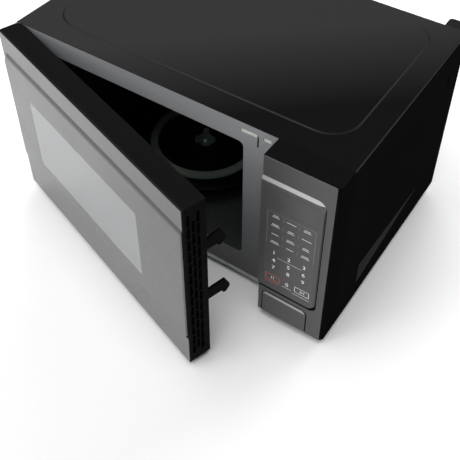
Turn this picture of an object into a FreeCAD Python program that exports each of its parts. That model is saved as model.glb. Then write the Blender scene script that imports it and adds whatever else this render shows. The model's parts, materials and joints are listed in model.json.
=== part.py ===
"""Countertop microwave oven with a side-hinged door, as separate named pieces.

Frame: +X to the right as seen from the front, +Y to the back, +Z up. The origin is on the plane
the feet stand on, midway between the cabinet sides, at the cabinet's front edge.
The door is stored open by REST_OPEN degrees. All lengths are in millimetres.
"""
import FreeCAD, Part
import math
import os

V = FreeCAD.Vector
X_AXIS = V(1, 0, 0)
Y_AXIS = V(0, 1, 0)
Z_AXIS = V(0, 0, 1)

# ---- overall size
WIDTH = 510.0            # cabinet, door and panel together, side to side
DEPTH = 314.0            # cabinet alone, front edge to rear edge
HEIGHT = 280.0           # door and control panel height, without the feet
FOOT_H = 10.0
FACE_T = 33.0            # door and control panel thickness
REST_OPEN = 17.4         # stored door angle from closed, degrees

# ---- sheet and moulding thicknesses, clearances
CASE_T = 0.8
SHEET_T = 1.0
CAVITY_T = 0.8
SKIN_T = 2.5             # plastic mouldings
FIT = 0.3                # gap between neighbouring pieces
PIN_FIT = 0.05           # radial clearance of a pin in its bore
DOOR_GAP = 1.0           # closed door to front plate
PANEL_GAP = 2.0          # closed door to control panel

# ---- front layout
PANEL_W = 97.0           # control panel
STRIP_W = 48.0           # front plate between the cavity opening and the panel
JAMB_W = 35.0            # front plate left of the cavity opening
SILL_H = 46.0            # cavity floor above the cabinet's bottom edge
LINTEL_H = 32.0          # cavity roof below the cabinet's top edge
PLATE_LIFT = 9.0         # front plate's bottom edge above the cabinet's
REAR_CLEAR = 18.0        # cavity rear wall to rear panel
CORNER_R = 8.0           # cavity opening corners

# ---- raised band across door and panel
BAND_PROUD = 2.5
BAND_BOTTOM = 57.0       # above the cabinet's bottom edge
BAND_TOP_DROP = 30.0     # below the cabinet's top edge
BAND_BEVEL = 8.0         # height of its sloped upper edge
BAND_END_R = 11.0
GROOVE = 1.0
GROOVE_LOW = 6.0         # height of the groove under the band
FACE_EDGE_R = 0.9        # softened edges of the door and panel faces

# ---- door window
WINDOW_LEFT = 63.0       # from the door's hinge side
WINDOW_RIGHT = 92.0      # from the door's free side
WINDOW_BOTTOM = 85.5
WINDOW_TOP_DROP = 81.0

# ---- turntable
TRAY_R = 135.0
TRAY_T = 4.0
TRAY_RIM = 11.0
ROLLER_R = 8.0
ROLLER_TRACK_R = 90.0
ROLLER_W = 7.0

# ---- door pivot, measured from the cabinet's left side and front edge
PIVOT_IN = 11.5
PIVOT_FWD = 19.0
HINGE_PIN_R = 3.0
HINGE_SWEEP_R = 17.5     # rounded rear corner of the door, about the pivot

# ---- levels and planes that follow
X_LEFT = -WIDTH / 2
X_RIGHT = WIDTH / 2
Z_BASE = FOOT_H
Z_TOP = FOOT_H + HEIGHT
PANEL_X = X_RIGHT - PANEL_W
DOOR_X = PANEL_X - PANEL_GAP
CAV_X0 = X_LEFT + JAMB_W
CAV_X1 = PANEL_X - STRIP_W
CAV_Z0 = Z_BASE + SILL_H
CAV_Z1 = Z_TOP - LINTEL_H
CAV_Y1 = DEPTH - REAR_CLEAR
CAV_XM = (CAV_X0 + CAV_X1) / 2
CAV_YM = CAV_Y1 / 2
CAV_ZM = (CAV_Z0 + CAV_Z1) / 2
CASE_Z1 = Z_TOP - 0.5
BAND_Z0 = Z_BASE + BAND_BOTTOM
BAND_Z1 = Z_TOP - BAND_TOP_DROP
FLOOR_Z = Z_BASE + CASE_T
BAY_X0 = CAV_X1 + CAVITY_T           # works bay right of the cavity
BAY_X1 = X_RIGHT - CASE_T
PIVOT = V(X_LEFT + PIVOT_IN, -PIVOT_FWD, 0)
os.makedirs("parts", exist_ok=True)


# ---- shape helpers
def box(x0, x1, y0, y1, z0, z1):
    """Box between two corners."""
    return Part.makeBox(x1 - x0, y1 - y0, z1 - z0, V(x0, y0, z0))


def rod(radius, length, start, axis=Z_AXIS):
    """Cylinder from a start point along an axis."""
    return Part.makeCylinder(radius, length, start, axis)


def tube(outer, inner, length, start, axis=Z_AXIS):
    """Cylinder with a round bore along its axis."""
    return rod(outer, length, start, axis).cut(rod(inner, length, start, axis))


def join(first, *others):
    """One solid from touching pieces, with split faces merged."""
    return first.fuse(list(others)).removeSplitter()


def shell_box(x0, x1, y0, y1, z0, z1, wall, open_side):
    """Box with walls of one thickness, open on the side named, such as '+y'."""
    inner = dict(x0=x0 + wall, x1=x1 - wall, y0=y0 + wall, y1=y1 - wall, z0=z0 + wall, z1=z1 - wall)
    axis, end = open_side[1], {"-": "0", "+": "1"}[open_side[0]]
    outer_value = dict(x0=x0, x1=x1, y0=y0, y1=y1, z0=z0, z1=z1)[axis + end]
    inner[axis + end] = outer_value
    return box(x0, x1, y0, y1, z0, z1).cut(box(**inner))


def round_edges(shape, radius, direction, near=None):
    """Fillet the straight edges that run along a direction, all or those near a test point."""
    chosen = []
    for edge in shape.Edges:
        line = edge.Curve
        if not hasattr(line, "Direction"):
            continue
        along = abs(line.Direction.dot(direction)) > 0.999
        if along and (near is None or near(edge.CenterOfMass)):
            chosen.append(edge)
    return shape.makeFillet(radius, chosen)


def soften_face(shape, y):
    """Round every edge that lies in the front plane."""
    chosen = [e for e in shape.Edges if e.BoundBox.YMax < y + 0.01]
    return shape.makeFillet(FACE_EDGE_R, chosen)


def outline(x0, x1, z0, z1, y, r_left=0.0, r_right=0.0):
    """Closed rectangle in an XZ plane, with its left and right corners rounded separately."""
    k = math.sqrt(0.5)
    edges = []

    def line(a, b):
        edges.append(Part.makeLine(V(a[0], y, a[1]), V(b[0], y, b[1])))

    def arc(a, m, b):
        points = [V(p[0], y, p[1]) for p in (a, m, b)]
        edges.append(Part.Arc(*points).toShape())

    rl, rr = r_left, r_right
    line((x0 + rl, z0), (x1 - rr, z0))
    if rr:
        arc((x1 - rr, z0), (x1 - rr + rr * k, z0 + rr - rr * k), (x1, z0 + rr))
    line((x1, z0 + rr), (x1, z1 - rr))
    if rr:
        arc((x1, z1 - rr), (x1 - rr + rr * k, z1 - rr + rr * k), (x1 - rr, z1))
    line((x1 - rr, z1), (x0 + rl, z1))
    if rl:
        arc((x0 + rl, z1), (x0 + rl - rl * k, z1 - rl + rl * k), (x0, z1 - rl))
    line((x0, z1 - rl), (x0, z0 + rl))
    if rl:
        arc((x0, z0 + rl), (x0 + rl - rl * k, z0 + rl - rl * k), (x0 + rl, z0))
    return Part.Wire(edges)


def slab(wire, thickness):
    """Flat plate from an XZ outline, thickened towards +Y."""
    return Part.Face(wire).extrude(V(0, thickness, 0))


def hole_grid(nx, nz, pitch, radius, length, start, u, w, axis):
    """Round cutters on a grid that is centred on a point."""
    cutters = []
    for i in range(nx):
        for j in range(nz):
            at = start + u * ((i - (nx - 1) / 2) * pitch) + w * ((j - (nz - 1) / 2) * pitch)
            cutters.append(rod(radius, length, at, axis))
    return cutters


def coil(radius, wire_r, pitch, turns, start, axis=Z_AXIS):
    """Open coil of round wire along an axis, in half-turns that each lean by half the pitch."""
    halves = []
    for k in range(round(2 * turns)):
        side = 1 - 2 * (k % 2)
        start_point = V(side * radius, 0, k * pitch / 2)
        end_point = V(-side * radius, 0, (k + 1) * pitch / 2)
        section = Part.Face(Part.Wire(Part.makeCircle(wire_r, start_point, Y_AXIS)))
        turn_axis = (start_point - end_point).cross(V(0, side, 0))
        halves.append(section.revolve((start_point + end_point) * 0.5, turn_axis, 180))
    shape = halves[0].fuse(halves[1:])
    shape.Placement = FreeCAD.Placement(start, FreeCAD.Rotation(Z_AXIS, axis))
    return shape


def screw(start, axis, head_r=3.6, head_h=2.2, shank_r=1.8, shank=7.0, recess=True):
    """Pan-head screw: the head stands out from the start point, the shank goes in."""
    body = rod(head_r, head_h, start, axis)
    if recess:
        side = Z_AXIS if abs(axis.z) < 0.5 else X_AXIS
        cross = axis.cross(side)
        top = start + axis * head_h
        for along, across in ((side, cross), (cross, side)):
            corner = top - axis * 1.0 - along * head_r * 0.62 - across * 0.5
            bar = Part.makePolygon([corner, corner + along * head_r * 1.24,
                                    corner + along * head_r * 1.24 + across, corner + across, corner])
            body = body.cut(Part.Face(bar).extrude(axis * 1.5))
    return body.fuse(rod(shank_r, shank, start, axis * -1)).removeSplitter()


def opened(shape):
    """Door piece turned from its closed place to its stored place."""
    turned = shape.copy()
    turned.rotate(PIVOT, Z_AXIS, -REST_OPEN)
    return turned


def write(name, shape):
    """Save one node."""
    shape.exportStep(f"parts/{name}.step")


def group(pieces):
    """Several separate solids in one node."""
    return Part.makeCompound(pieces)


# ======================================================================= cabinet
CASE_EDGE_R = 3.0
TOP_STEP = 1.2           # raised middle of the top
TOP_MARGIN_X = 31.0
TOP_MARGIN_FRONT = 32.0
TOP_MARGIN_REAR = 18.0
TOP_STEP_R = 40.0
SCOOP_DEEP = 7.0         # tapered hollow in the right side, deepest at its front
SCOOP_FRONT = 55.0
SCOOP_LENGTH = 178.0
SCOOP_Z0 = 28.0
SCOOP_Z1 = 238.0


def rounded_top(x0, x1, y0, y1, z0, z1, edge_r):
    block = box(x0, x1, y0, y1, z0, z1)
    return round_edges(block, edge_r, Y_AXIS, near=lambda c: c.z > z1 - 1)


def top_step(inset, z0, z1):
    """Low rounded block that raises the middle of the top, with sloped sides."""
    x1 = X_RIGHT - TOP_MARGIN_X - inset
    y0 = TOP_MARGIN_FRONT + inset
    y1 = DEPTH - TOP_MARGIN_REAR - inset
    wires = []
    for z, grow in ((z0, 0.0), (z1, -2.0)):
        wire = outline(-x1 - grow, x1 + grow, y0 - grow, y1 + grow, 0, TOP_STEP_R, TOP_STEP_R)
        wire.rotate(V(0, 0, 0), X_AXIS, -90)
        wire.translate(V(0, 0, z))
        wires.append(wire)
    return Part.makeLoft(wires, True, True)


def scoop(shift):
    """Wedge cut from the right side: four outer corners and a deep front edge."""
    x = X_RIGHT - shift
    rear = SCOOP_FRONT + SCOOP_LENGTH
    z0, z1 = Z_BASE + SCOOP_Z0, Z_TOP - (HEIGHT - SCOOP_Z1)
    rise = 28.0
    outer = [V(x, SCOOP_FRONT, z0), V(x, rear, z0 + rise), V(x, rear, z1 - rise), V(x, SCOOP_FRONT, z1)]
    deep = [V(x - SCOOP_DEEP, SCOOP_FRONT + 11, z0 + 12), V(x - SCOOP_DEEP, SCOOP_FRONT + 11, z1 - 12)]
    faces = [outer, [outer[0], outer[3], deep[1], deep[0]], [outer[3], outer[2], deep[1]],
             [outer[0], outer[1], deep[0]], [outer[1], outer[2], deep[1], deep[0]]]
    made = [Part.Face(Part.makePolygon(points + [points[0]])) for points in faces]
    return Part.makeSolid(Part.makeShell(made))


def outer_case():
    outside = rounded_top(X_LEFT, X_RIGHT, 0, DEPTH, Z_BASE, CASE_Z1, CASE_EDGE_R)
    inside = rounded_top(X_LEFT + CASE_T, X_RIGHT - CASE_T, 0, DEPTH, Z_BASE, CASE_Z1 - CASE_T,
                         CASE_EDGE_R - CASE_T)
    outside = outside.fuse(top_step(0, CASE_Z1 - 0.2, CASE_Z1 + TOP_STEP)).cut(scoop(0))
    under_top = CASE_Z1 - CASE_T
    inside = inside.fuse(top_step(1.0, under_top - 0.2, under_top + TOP_STEP)).cut(scoop(CASE_T))
    wrap = outside.cut(inside)
    vents = []
    for k in range(9):
        y = DEPTH - 120 + k * 10
        vents.append(box(X_LEFT - 1, X_LEFT + 2, y, y + 4, Z_TOP - 90, Z_TOP - 60))
    # a lanced notch near the top of the right side, at the rear
    vents.append(box(X_RIGHT - 2, X_RIGHT + 1, DEPTH - 43, DEPTH - 39, Z_TOP - 65, Z_TOP - 45))
    return wrap.cut(vents)


def base_plate():
    x0, x1 = X_LEFT + CASE_T + 0.2, X_RIGHT - CASE_T - 0.2
    y0, y1 = SHEET_T + 0.1, DEPTH - SHEET_T - 0.3
    pan = shell_box(x0, x1, y0, y1, Z_BASE, Z_BASE + PLATE_LIFT + 1, CASE_T, "+z")
    holes = hole_grid(6, 4, 9, 2.5, 4, V(BAY_X0 + 70, DEPTH * 0.72, Z_BASE - 1), X_AXIS, Y_AXIS, Z_AXIS)
    for x, y in foot_places():
        holes.append(rod(3.0, 4, V(x, y, Z_BASE - 1)))
    return pan.cut(holes)


def foot_places():
    inset_x, inset_y = 38.0, 30.0
    return [(sx * (X_RIGHT - inset_x), y) for sx in (-1, 1) for y in (inset_y, DEPTH - inset_y)]


def feet():
    made = []
    for x, y in foot_places():
        pad = Part.makeCone(11.0, 13.0, FOOT_H, V(x, y, 0))
        stem = rod(2.9, CASE_T + 0.2, V(x, y, FOOT_H))
        barb = rod(4.0, 1.5, V(x, y, FOOT_H + CASE_T + 0.2))
        made.append(join(pad, stem, barb))
    return group(made)


FAN_R = 50.0
FAN_X = (BAY_X0 + BAY_X1) / 2 + 8
FAN_DROP = 112.0         # fan centre below the cabinet's top edge
FAN_Z = Z_TOP - FAN_DROP


def rear_panel():
    y1 = DEPTH - 0.1
    sheet = box(X_LEFT + CASE_T + 0.1, X_RIGHT - CASE_T - 0.1, y1 - CASE_T, y1, Z_BASE + 0.1,
                CASE_Z1 - CASE_T - 0.1)
    corner = CASE_EDGE_R
    sheet = round_edges(sheet, corner, Y_AXIS, near=lambda c: c.z > CASE_Z1 - 5)
    cuts = hole_grid(10, 10, 9, 2.6, 4, V(FAN_X, y1 - 3, FAN_Z), X_AXIS, Z_AXIS, Y_AXIS)
    cuts += hole_grid(14, 4, 9, 2.2, 4, V(CAV_XM, y1 - 3, Z_BASE + 30), X_AXIS, Z_AXIS, Y_AXIS)
    cuts.append(rod(CORD_R, 4, V(CORD_X, y1 - 3, CORD_Z), Y_AXIS))
    for x, z in rear_screw_places():
        cuts.append(rod(2.0, 4, V(x, y1 - 3, z), Y_AXIS))
    for x, z in spacer_places():
        cuts.append(rod(2.0, 4, V(x, y1 - 3, z), Y_AXIS))
    return sheet.cut(cuts)


CORD_R = 6.5
CORD_X = X_RIGHT - 28.0
CORD_Z = Z_BASE + 34.0


def cord_gland():
    """Strain relief bush where a mains cord leaves; its bore is free."""
    y = DEPTH - 0.1
    flange = rod(CORD_R + 3, 2.5, V(CORD_X, y, CORD_Z), Y_AXIS)
    neck = rod(CORD_R - 0.1, CASE_T + 3, V(CORD_X, y - CASE_T - 3, CORD_Z), Y_AXIS)
    snout = rod(CORD_R - 1, 9, V(CORD_X, y + 2.5, CORD_Z), Y_AXIS)
    bore = rod(3.6, 30, V(CORD_X, y - 10, CORD_Z), Y_AXIS)
    return join(flange, neck, snout).cut(bore)


SPACER_W = 20.0
SPACER_L = 22.0
SPACER_H = 34.0


def spacer_places():
    z = CASE_Z1 - 1.5 - SPACER_H / 2
    return [(sx * (X_RIGHT - 23.0), z) for sx in (-1, 1)]


def rear_spacers():
    """Stand-offs that hold the oven clear of a wall."""
    made = []
    for x, z in spacer_places():
        block = box(x - SPACER_W / 2, x + SPACER_W / 2, DEPTH - 0.1, DEPTH + SPACER_L,
                    z - SPACER_H / 2, z + SPACER_H / 2)
        block = round_edges(block, 5.0, Z_AXIS, near=lambda c: c.y > DEPTH + 2)
        hollow = box(x - SPACER_W / 2 + SKIN_T, x + SPACER_W / 2 - SKIN_T, DEPTH + SKIN_T,
                     DEPTH + SPACER_L - SKIN_T, z - SPACER_H / 2 - 1, z + SPACER_H / 2 - SKIN_T)
        peg = rod(1.9, CASE_T + 3, V(x, DEPTH - CASE_T - 3, z), Y_AXIS)
        made.append(join(block.cut(hollow), peg))
    return group(made)


def rear_screw_places():
    zs = (Z_BASE + 14, CASE_Z1 - 14)
    places = [(sx * (X_RIGHT - 8), z) for sx in (-1, 1) for z in zs]
    return places + [(0.0, CASE_Z1 - 10)]


def rear_screws():
    return group([screw(V(x, DEPTH - 0.1, z), Y_AXIS) for x, z in rear_screw_places()])


# ======================================================================= front plate and cavity
HOOK_X = DOOR_X - 7.5
SLOT_X0 = HOOK_X - 4.0
SLOT_X1 = HOOK_X + 7.5
UPPER_HOOK_DROP = 92.0   # underside of the upper hook's arm, below the door's top edge
UPPER_Z = HEIGHT - UPPER_HOOK_DROP
ARM_H = 16.0
HOOKS = {               # arm bottom, arm top, head bottom, reach behind the door's rear face
    "upper": dict(arm0=UPPER_Z, arm1=UPPER_Z + ARM_H, head0=UPPER_Z - 4.3, head1=UPPER_Z + 20.0,
                  reach=29.0),
    "lower": dict(arm0=96.0, arm1=113.0, head0=90.5, head1=114.0, reach=35.0),
}
LATCH_DROP = 3.0
TAB_Z0 = Z_TOP - 15.5
TAB_Z1 = Z_TOP - 10.5
TAB_SLOTS = ((-52.0, -29.7), (-20.5, -10.0))     # from the control panel's left edge
KEY_SLOT_X = -28.0
BUTTON_X0 = PANEL_X + 7.0
BUTTON_X1 = PANEL_X + 71.0
BUTTON_H = 42.5
BUTTON_GAP = 1.5         # open gap at the sides and top of the button
BUTTON_CORNER = 7.0      # rounding of its upper corners
BUTTON_BEVEL = 3.2       # height of the sloped upper edge
POST_Z = Z_BASE + 31.0
POST_X0 = BUTTON_X0 + 0.5
POST_X1 = POST_X0 + 4.0
ARM_W = 13.0             # hinge arm width
ARM_T = 3.0
ARM_SWEEP = 9.5          # half the room an arm needs in the door as the door swings
HINGE_T = 2.0            # hinge flange behind the front plate
SCREW_R = 1.7
HINGE_Z = {"upper": Z_TOP - 14.0, "lower": Z_BASE + 11.0}     # underside of each hinge arm


def bezel_screw_places():
    return [(PANEL_X + 14, Z_TOP - 6), (X_RIGHT - 6, Z_BASE + 40), (X_RIGHT - 6, Z_TOP - 40)]


def hinge_screw_places():
    return [(CAV_X0 - 9.0, HINGE_Z["upper"] - 8), (CAV_X0 - 9.0, HINGE_Z["lower"] + 18)]


def front_plate():
    plate = box(X_LEFT + CASE_T + 0.2, X_RIGHT - CASE_T - 0.2, 0, SHEET_T, Z_BASE + PLATE_LIFT,
                CASE_Z1 - CASE_T - 0.2)
    plate = round_edges(plate, CASE_EDGE_R, Y_AXIS, near=lambda c: c.z > CASE_Z1 - 5)
    opening = slab(outline(CAV_X0, CAV_X1, CAV_Z0, CAV_Z1, -1, CORNER_R, CORNER_R), SHEET_T + 2)
    service = box(PANEL_X + 8, X_RIGHT - 12, -1, SHEET_T + 1, Z_BASE + 62, Z_TOP - 20)
    cuts = [opening, service]
    for hook in HOOKS.values():
        cuts.append(box(SLOT_X0, SLOT_X1, -1, SHEET_T + 1, Z_BASE + hook["head0"] - LATCH_DROP - 2.5,
                        Z_BASE + hook["head1"] + 3))
    for a, b in TAB_SLOTS:
        cuts.append(box(PANEL_X + a, PANEL_X + b, -1, SHEET_T + 1, TAB_Z0, TAB_Z1))
    key_x = PANEL_X + KEY_SLOT_X
    cuts.append(box(key_x - 1, key_x + 1.2, -1, SHEET_T + 1, TAB_Z0 - 15, TAB_Z1 - 2))
    cuts.append(box(BUTTON_X0 - 6, BUTTON_X0 + 12, -1, SHEET_T + 1, POST_Z - 8, POST_Z + 8))
    for z in HINGE_Z.values():
        cuts.append(box(PIVOT.x - ARM_W / 2 - 0.5, PIVOT.x + ARM_W / 2 + 0.5, -1, SHEET_T + 1,
                        z - 0.5, z + ARM_T + 0.5))
    for x, z in bezel_screw_places() + hinge_screw_places():
        cuts.append(rod(SCREW_R + 0.1, 4, V(x, -1, z), Y_AXIS))
    return plate.cut(cuts)


VENT_Y = 64.0
FEED_Y = (CAV_YM - 34, CAV_YM + 16)
FEED_Z = (CAV_ZM - 22, CAV_ZM + 22)
LAMP_Y = CAV_YM - 72
LAMP_Z = CAV_Z1 - 26


def cavity():
    t = CAVITY_T
    outside = round_edges(box(CAV_X0 - t, CAV_X1 + t, SHEET_T, CAV_Y1 + t, CAV_Z0 - t, CAV_Z1 + t),
                          CORNER_R + t, Y_AXIS)
    inside = round_edges(box(CAV_X0, CAV_X1, SHEET_T - 1, CAV_Y1, CAV_Z0, CAV_Z1), CORNER_R, Y_AXIS)
    liner = outside.cut(inside)
    cuts = [box(CAV_X1 - 1, CAV_X1 + t + 1, FEED_Y[0], FEED_Y[1], FEED_Z[0], FEED_Z[1])]
    cuts.append(rod(SHAFT_R + 1, 3, V(CAV_XM, CAV_YM, CAV_Z0 - 2)))
    cuts += hole_grid(5, 6, 4.2, 1.3, 4, V(CAV_X0 - 2, VENT_Y, CAV_ZM + 20), Y_AXIS, Z_AXIS, X_AXIS)
    cuts += hole_grid(6, 4, 5, 1.5, 4, V(CAV_X1 - 1, LAMP_Y, LAMP_Z), Y_AXIS, Z_AXIS, X_AXIS)
    return liner.cut(cuts)


# ======================================================================= turntable drive
SHAFT_R = 3.0
MOTOR_R = 24.0
MOTOR_H = 15.0
ROLLER_Z = CAV_Z0 + FIT + ROLLER_R
TRAY_Z = ROLLER_Z + ROLLER_R + FIT
AXLE_R = 1.8
CENTRE = V(CAV_XM, CAV_YM, 0)


def turntable_motor():
    top = CAV_Z0 - CAVITY_T - 1.0
    can = rod(MOTOR_R, MOTOR_H, V(CAV_XM, CAV_YM, top - MOTOR_H))
    ear = box(CAV_XM - MOTOR_R - 9, CAV_XM + MOTOR_R + 9, CAV_YM - 8, CAV_YM + 8, top - 2, top)
    box_end = box(CAV_XM - 9, CAV_XM + 9, CAV_YM + MOTOR_R - 4, CAV_YM + MOTOR_R + 9, top - 13, top - 3)
    return join(can, ear, box_end)


def drive_coupler():
    """Motor shaft and the three-lobed boss that turns the glass tray."""
    low = CAV_Z0 - CAVITY_T - 0.9
    shaft = rod(SHAFT_R, TRAY_Z - 4 - low, V(CAV_XM, CAV_YM, low))
    hub = rod(9.0, TRAY_Z - FIT - 3 - (CAV_Z0 + 1.0), V(CAV_XM, CAV_YM, CAV_Z0 + 1.0))
    lobes = []
    for k in range(3):
        lobe = box(0, 17.0, -4.5, 4.5, TRAY_Z - FIT - 6, TRAY_Z - FIT)
        lobe = round_edges(lobe, 4.0, Z_AXIS, near=lambda c: c.x > 10)
        lobe.rotate(V(0, 0, 0), Z_AXIS, 120 * k)
        lobe.translate(CENTRE)
        lobes.append(lobe)
    return join(shaft, hub, *lobes)


def glass_turntable():
    """Shallow dish with a raised rim, turned as one profile, and drive ribs under its centre."""
    r, t, rim = TRAY_R, TRAY_T, TRAY_RIM
    flat = r - 18
    points = [V(0, 0, 0), V(flat, 0, 0), V(r - 6, 0, rim - 3), V(r, 0, rim - 3), V(r, 0, rim),
              V(r - 8, 0, rim), V(flat - 2, 0, t), V(0, 0, t), V(0, 0, 0)]
    dish = Part.Face(Part.makePolygon(points)).revolve(V(0, 0, 0), Z_AXIS, 360)
    dish.translate(CENTRE + Z_AXIS * TRAY_Z)
    ribs = []
    for k in range(3):
        rib = box(12, 24, -2.0, 2.0, -4.0, 0.5)
        rib.rotate(V(0, 0, 0), Z_AXIS, 120 * k + 60)
        rib.translate(CENTRE + Z_AXIS * TRAY_Z)
        ribs.append(rib)
    return join(dish, *ribs)


def roller_ring():
    """Flat plastic ring with three stub axles for its wheels."""
    inner, outer = ROLLER_TRACK_R - 17, ROLLER_TRACK_R - 6
    ring = tube(outer, inner, 5.0, CENTRE + Z_AXIS * (ROLLER_Z - 2.5))
    pieces = []
    for k in range(3):
        out = V(math.cos(math.radians(120 * k + 30)), math.sin(math.radians(120 * k + 30)), 0)
        at = CENTRE + Z_AXIS * ROLLER_Z
        pieces.append(rod(AXLE_R, ROLLER_W + 9, at + out * (outer - 4), out))
        pieces.append(rod(3.2, 1.5, at + out * (ROLLER_TRACK_R + ROLLER_W / 2 + 0.6), out))
    return join(ring, *pieces)


def roller(k):
    out = V(math.cos(math.radians(120 * k + 30)), math.sin(math.radians(120 * k + 30)), 0)
    at = CENTRE + Z_AXIS * ROLLER_Z + out * (ROLLER_TRACK_R - ROLLER_W / 2)
    wheel = tube(ROLLER_R, AXLE_R + PIN_FIT, ROLLER_W, at, out)
    return wheel


# ======================================================================= works bay
MAG_Y0 = CAV_YM - 41.0
MAG_Y1 = MAG_Y0 + 85.0
GUIDE_T = 30.0
MAG_X0 = BAY_X0 + GUIDE_T
MAG_X1 = MAG_X0 + 62.0
MAG_Z0 = CAV_ZM - 42.0
MAG_Z1 = CAV_ZM + 42.0
YOKE_T = 1.5
MAG_MID = V(0, (MAG_Y0 + MAG_Y1) / 2, CAV_ZM)


def waveguide():
    """Sheet-metal duct that carries the microwaves from the magnetron into the cavity."""
    duct = shell_box(BAY_X0 + 0.1, MAG_X0, FEED_Y[0] - 6, MAG_Y1 - 4, FEED_Z[0] - 6, FEED_Z[1] + 6,
                     SHEET_T, "-x")
    return duct.cut(rod(9.5, 6, V(MAG_X0 - 3, MAG_MID.y, MAG_MID.z), X_AXIS))


def waveguide_cover():
    """Mica sheet that closes the feed inside the cavity."""
    return box(CAV_X1 - 0.7, CAV_X1 - 0.1, FEED_Y[0] - 8, FEED_Y[1] + 8, FEED_Z[0] - 8, FEED_Z[1] + 8)


def magnetron_yoke():
    """Steel frame and top plate around the tube."""
    frame = box(MAG_X0, MAG_X1, MAG_Y0, MAG_Y1, MAG_Z0, MAG_Z1)
    frame = frame.cut(box(MAG_X0 + YOKE_T, MAG_X1 - YOKE_T, MAG_Y0 - 1, MAG_Y1 + 1,
                          MAG_Z0 + YOKE_T, MAG_Z1 - YOKE_T))
    opening = rod(22.0, 6, V(MAG_X0 - 2, MAG_MID.y, MAG_MID.z), X_AXIS)
    rear = rod(16.0, 6, V(MAG_X1 - 4, MAG_MID.y, MAG_MID.z), X_AXIS)
    return frame.cut([opening, rear])


def magnetron_tube():
    """Anode barrel with magnets at both ends and the antenna reaching into the duct."""
    at = V(MAG_X0 - 14, MAG_MID.y, MAG_MID.z)
    antenna = rod(7.0, 16, at, X_AXIS)
    barrel = rod(20.0, MAG_X1 - MAG_X0 - 3.6, V(MAG_X0 + 1.8, MAG_MID.y, MAG_MID.z), X_AXIS)
    stem = rod(11.0, 12, V(MAG_X1 - 2, MAG_MID.y, MAG_MID.z), X_AXIS)
    return join(antenna, barrel, stem)


def magnetron_fins():
    fins = []
    for k in range(5):
        x = MAG_X0 + 11 + k * 9.0
        fin = box(x, x + 0.8, MAG_Y0 + 3, MAG_Y1 - 3, MAG_Z0 + 2, MAG_Z1 - 2)
        fins.append(fin.cut(rod(20.1, 3, V(x - 1, MAG_MID.y, MAG_MID.z), X_AXIS)))
    return group(fins)


def magnetron_filter():
    """Filter box on the cathode side, with its terminal block."""
    x = MAG_X1 + 0.1
    can = shell_box(x, x + 26, MAG_MID.y - 30, MAG_MID.y + 30, MAG_Z0 + 10, MAG_Z1 - 14, 0.8, "-x")
    can = can.cut(box(x - 1, x + 0.05, MAG_Y0, MAG_Y1, MAG_Z0, MAG_Z1))
    block = box(x + 6, x + 20, MAG_MID.y - 44, MAG_MID.y - 30, CAV_ZM - 12, CAV_ZM + 4)
    return join(can, block)


CORE_X0 = BAY_X1 - 98.0
CORE_Y0 = 48.0
CORE_W = 84.0
CORE_L = 66.0
CORE_H = 70.0


def transformer_core():
    x0, y0, z0 = CORE_X0, CORE_Y0, FLOOR_Z
    block = box(x0, x0 + CORE_W, y0 + 14, y0 + CORE_L - 14, z0 + 2, z0 + CORE_H)
    window = CORE_W / 6
    low, high = z0 + 2 + window, z0 + CORE_H - window
    cuts = [box(x0 + k * window, x0 + (k + 1) * window, y0, y0 + CORE_L, low, high) for k in (1, 4)]
    foot = box(x0 - 5, x0 + CORE_W + 5, y0 + 16, y0 + CORE_L - 16, z0, z0 + 2)
    return join(block.cut(cuts), foot)


def transformer_windings():
    """Two copper coils on the centre leg, one above the other."""
    window = CORE_W / 6
    x0 = CORE_X0 + window + 0.4
    x1 = CORE_X0 + 5 * window - 0.4
    made = []
    z = FLOOR_Z + 2 + window + 0.4
    span = CORE_H - 2 * window - 2.8
    for low, high in ((z, z + span * 0.42), (z + span * 0.48, z + span)):
        ring = box(x0, x1, CORE_Y0 + 4, CORE_Y0 + CORE_L - 4, low, high)
        ring = round_edges(ring, 6.0, Z_AXIS)
        leg = box(CORE_X0 + 2 * window - 0.3, CORE_X0 + 4 * window + 0.3, CORE_Y0 + 13.6,
                  CORE_Y0 + CORE_L - 13.6, low - 1, high + 1)
        made.append(ring.cut(leg))
    return group(made)


CAP_X = BAY_X1 - 46.0
CAP_Y0 = CORE_Y0 + CORE_L + 26.0
CAP_L = 82.0
CAP_R = 17.0


def capacitor():
    z = FLOOR_Z + CAP_R + 2.2
    half = 12.0
    body = box(CAP_X - half, CAP_X + half, CAP_Y0, CAP_Y0 + CAP_L, z - CAP_R, z + CAP_R)
    ends = [rod(CAP_R, CAP_L, V(CAP_X + s * half, CAP_Y0, z), Y_AXIS) for s in (-1, 1)]
    tabs = [box(x - 3, x + 3, CAP_Y0 - 9, CAP_Y0, z - 0.4, z + 0.4) for x in (CAP_X - 9, CAP_X + 9)]
    return join(body, *ends, *tabs)


def capacitor_clamp():
    z = FLOOR_Z + CAP_R + 2.2
    half, gap, t = 12.0, 0.2, 1.2
    y0 = CAP_Y0 + CAP_L / 2 - 8

    def oval(radius, length, y):
        body = box(CAP_X - half, CAP_X + half, y, y + length, z - radius, z + radius)
        return join(body, *[rod(radius, length, V(CAP_X + s * half, y, z), Y_AXIS) for s in (-1, 1)])

    band = oval(CAP_R + gap + t, 16, y0)
    reach = half + CAP_R + 12
    feet_bar = box(CAP_X - reach, CAP_X + reach, y0, y0 + 16, FLOOR_Z, FLOOR_Z + 1.6)
    return join(band, feet_bar).cut(oval(CAP_R + gap, 18, y0 - 1))


def diode():
    body = rod(4.0, 18, V(CAP_X - 40, CAP_Y0 + 10, FLOOR_Z + 6), Y_AXIS)
    lead = box(CAP_X - 44, CAP_X - 36, CAP_Y0 + 22, CAP_Y0 + 24, FLOOR_Z, FLOOR_Z + 6)
    return join(body, lead)


FAN_Y1 = DEPTH - 9.0
FAN_Y0 = FAN_Y1 - 22.0


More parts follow.
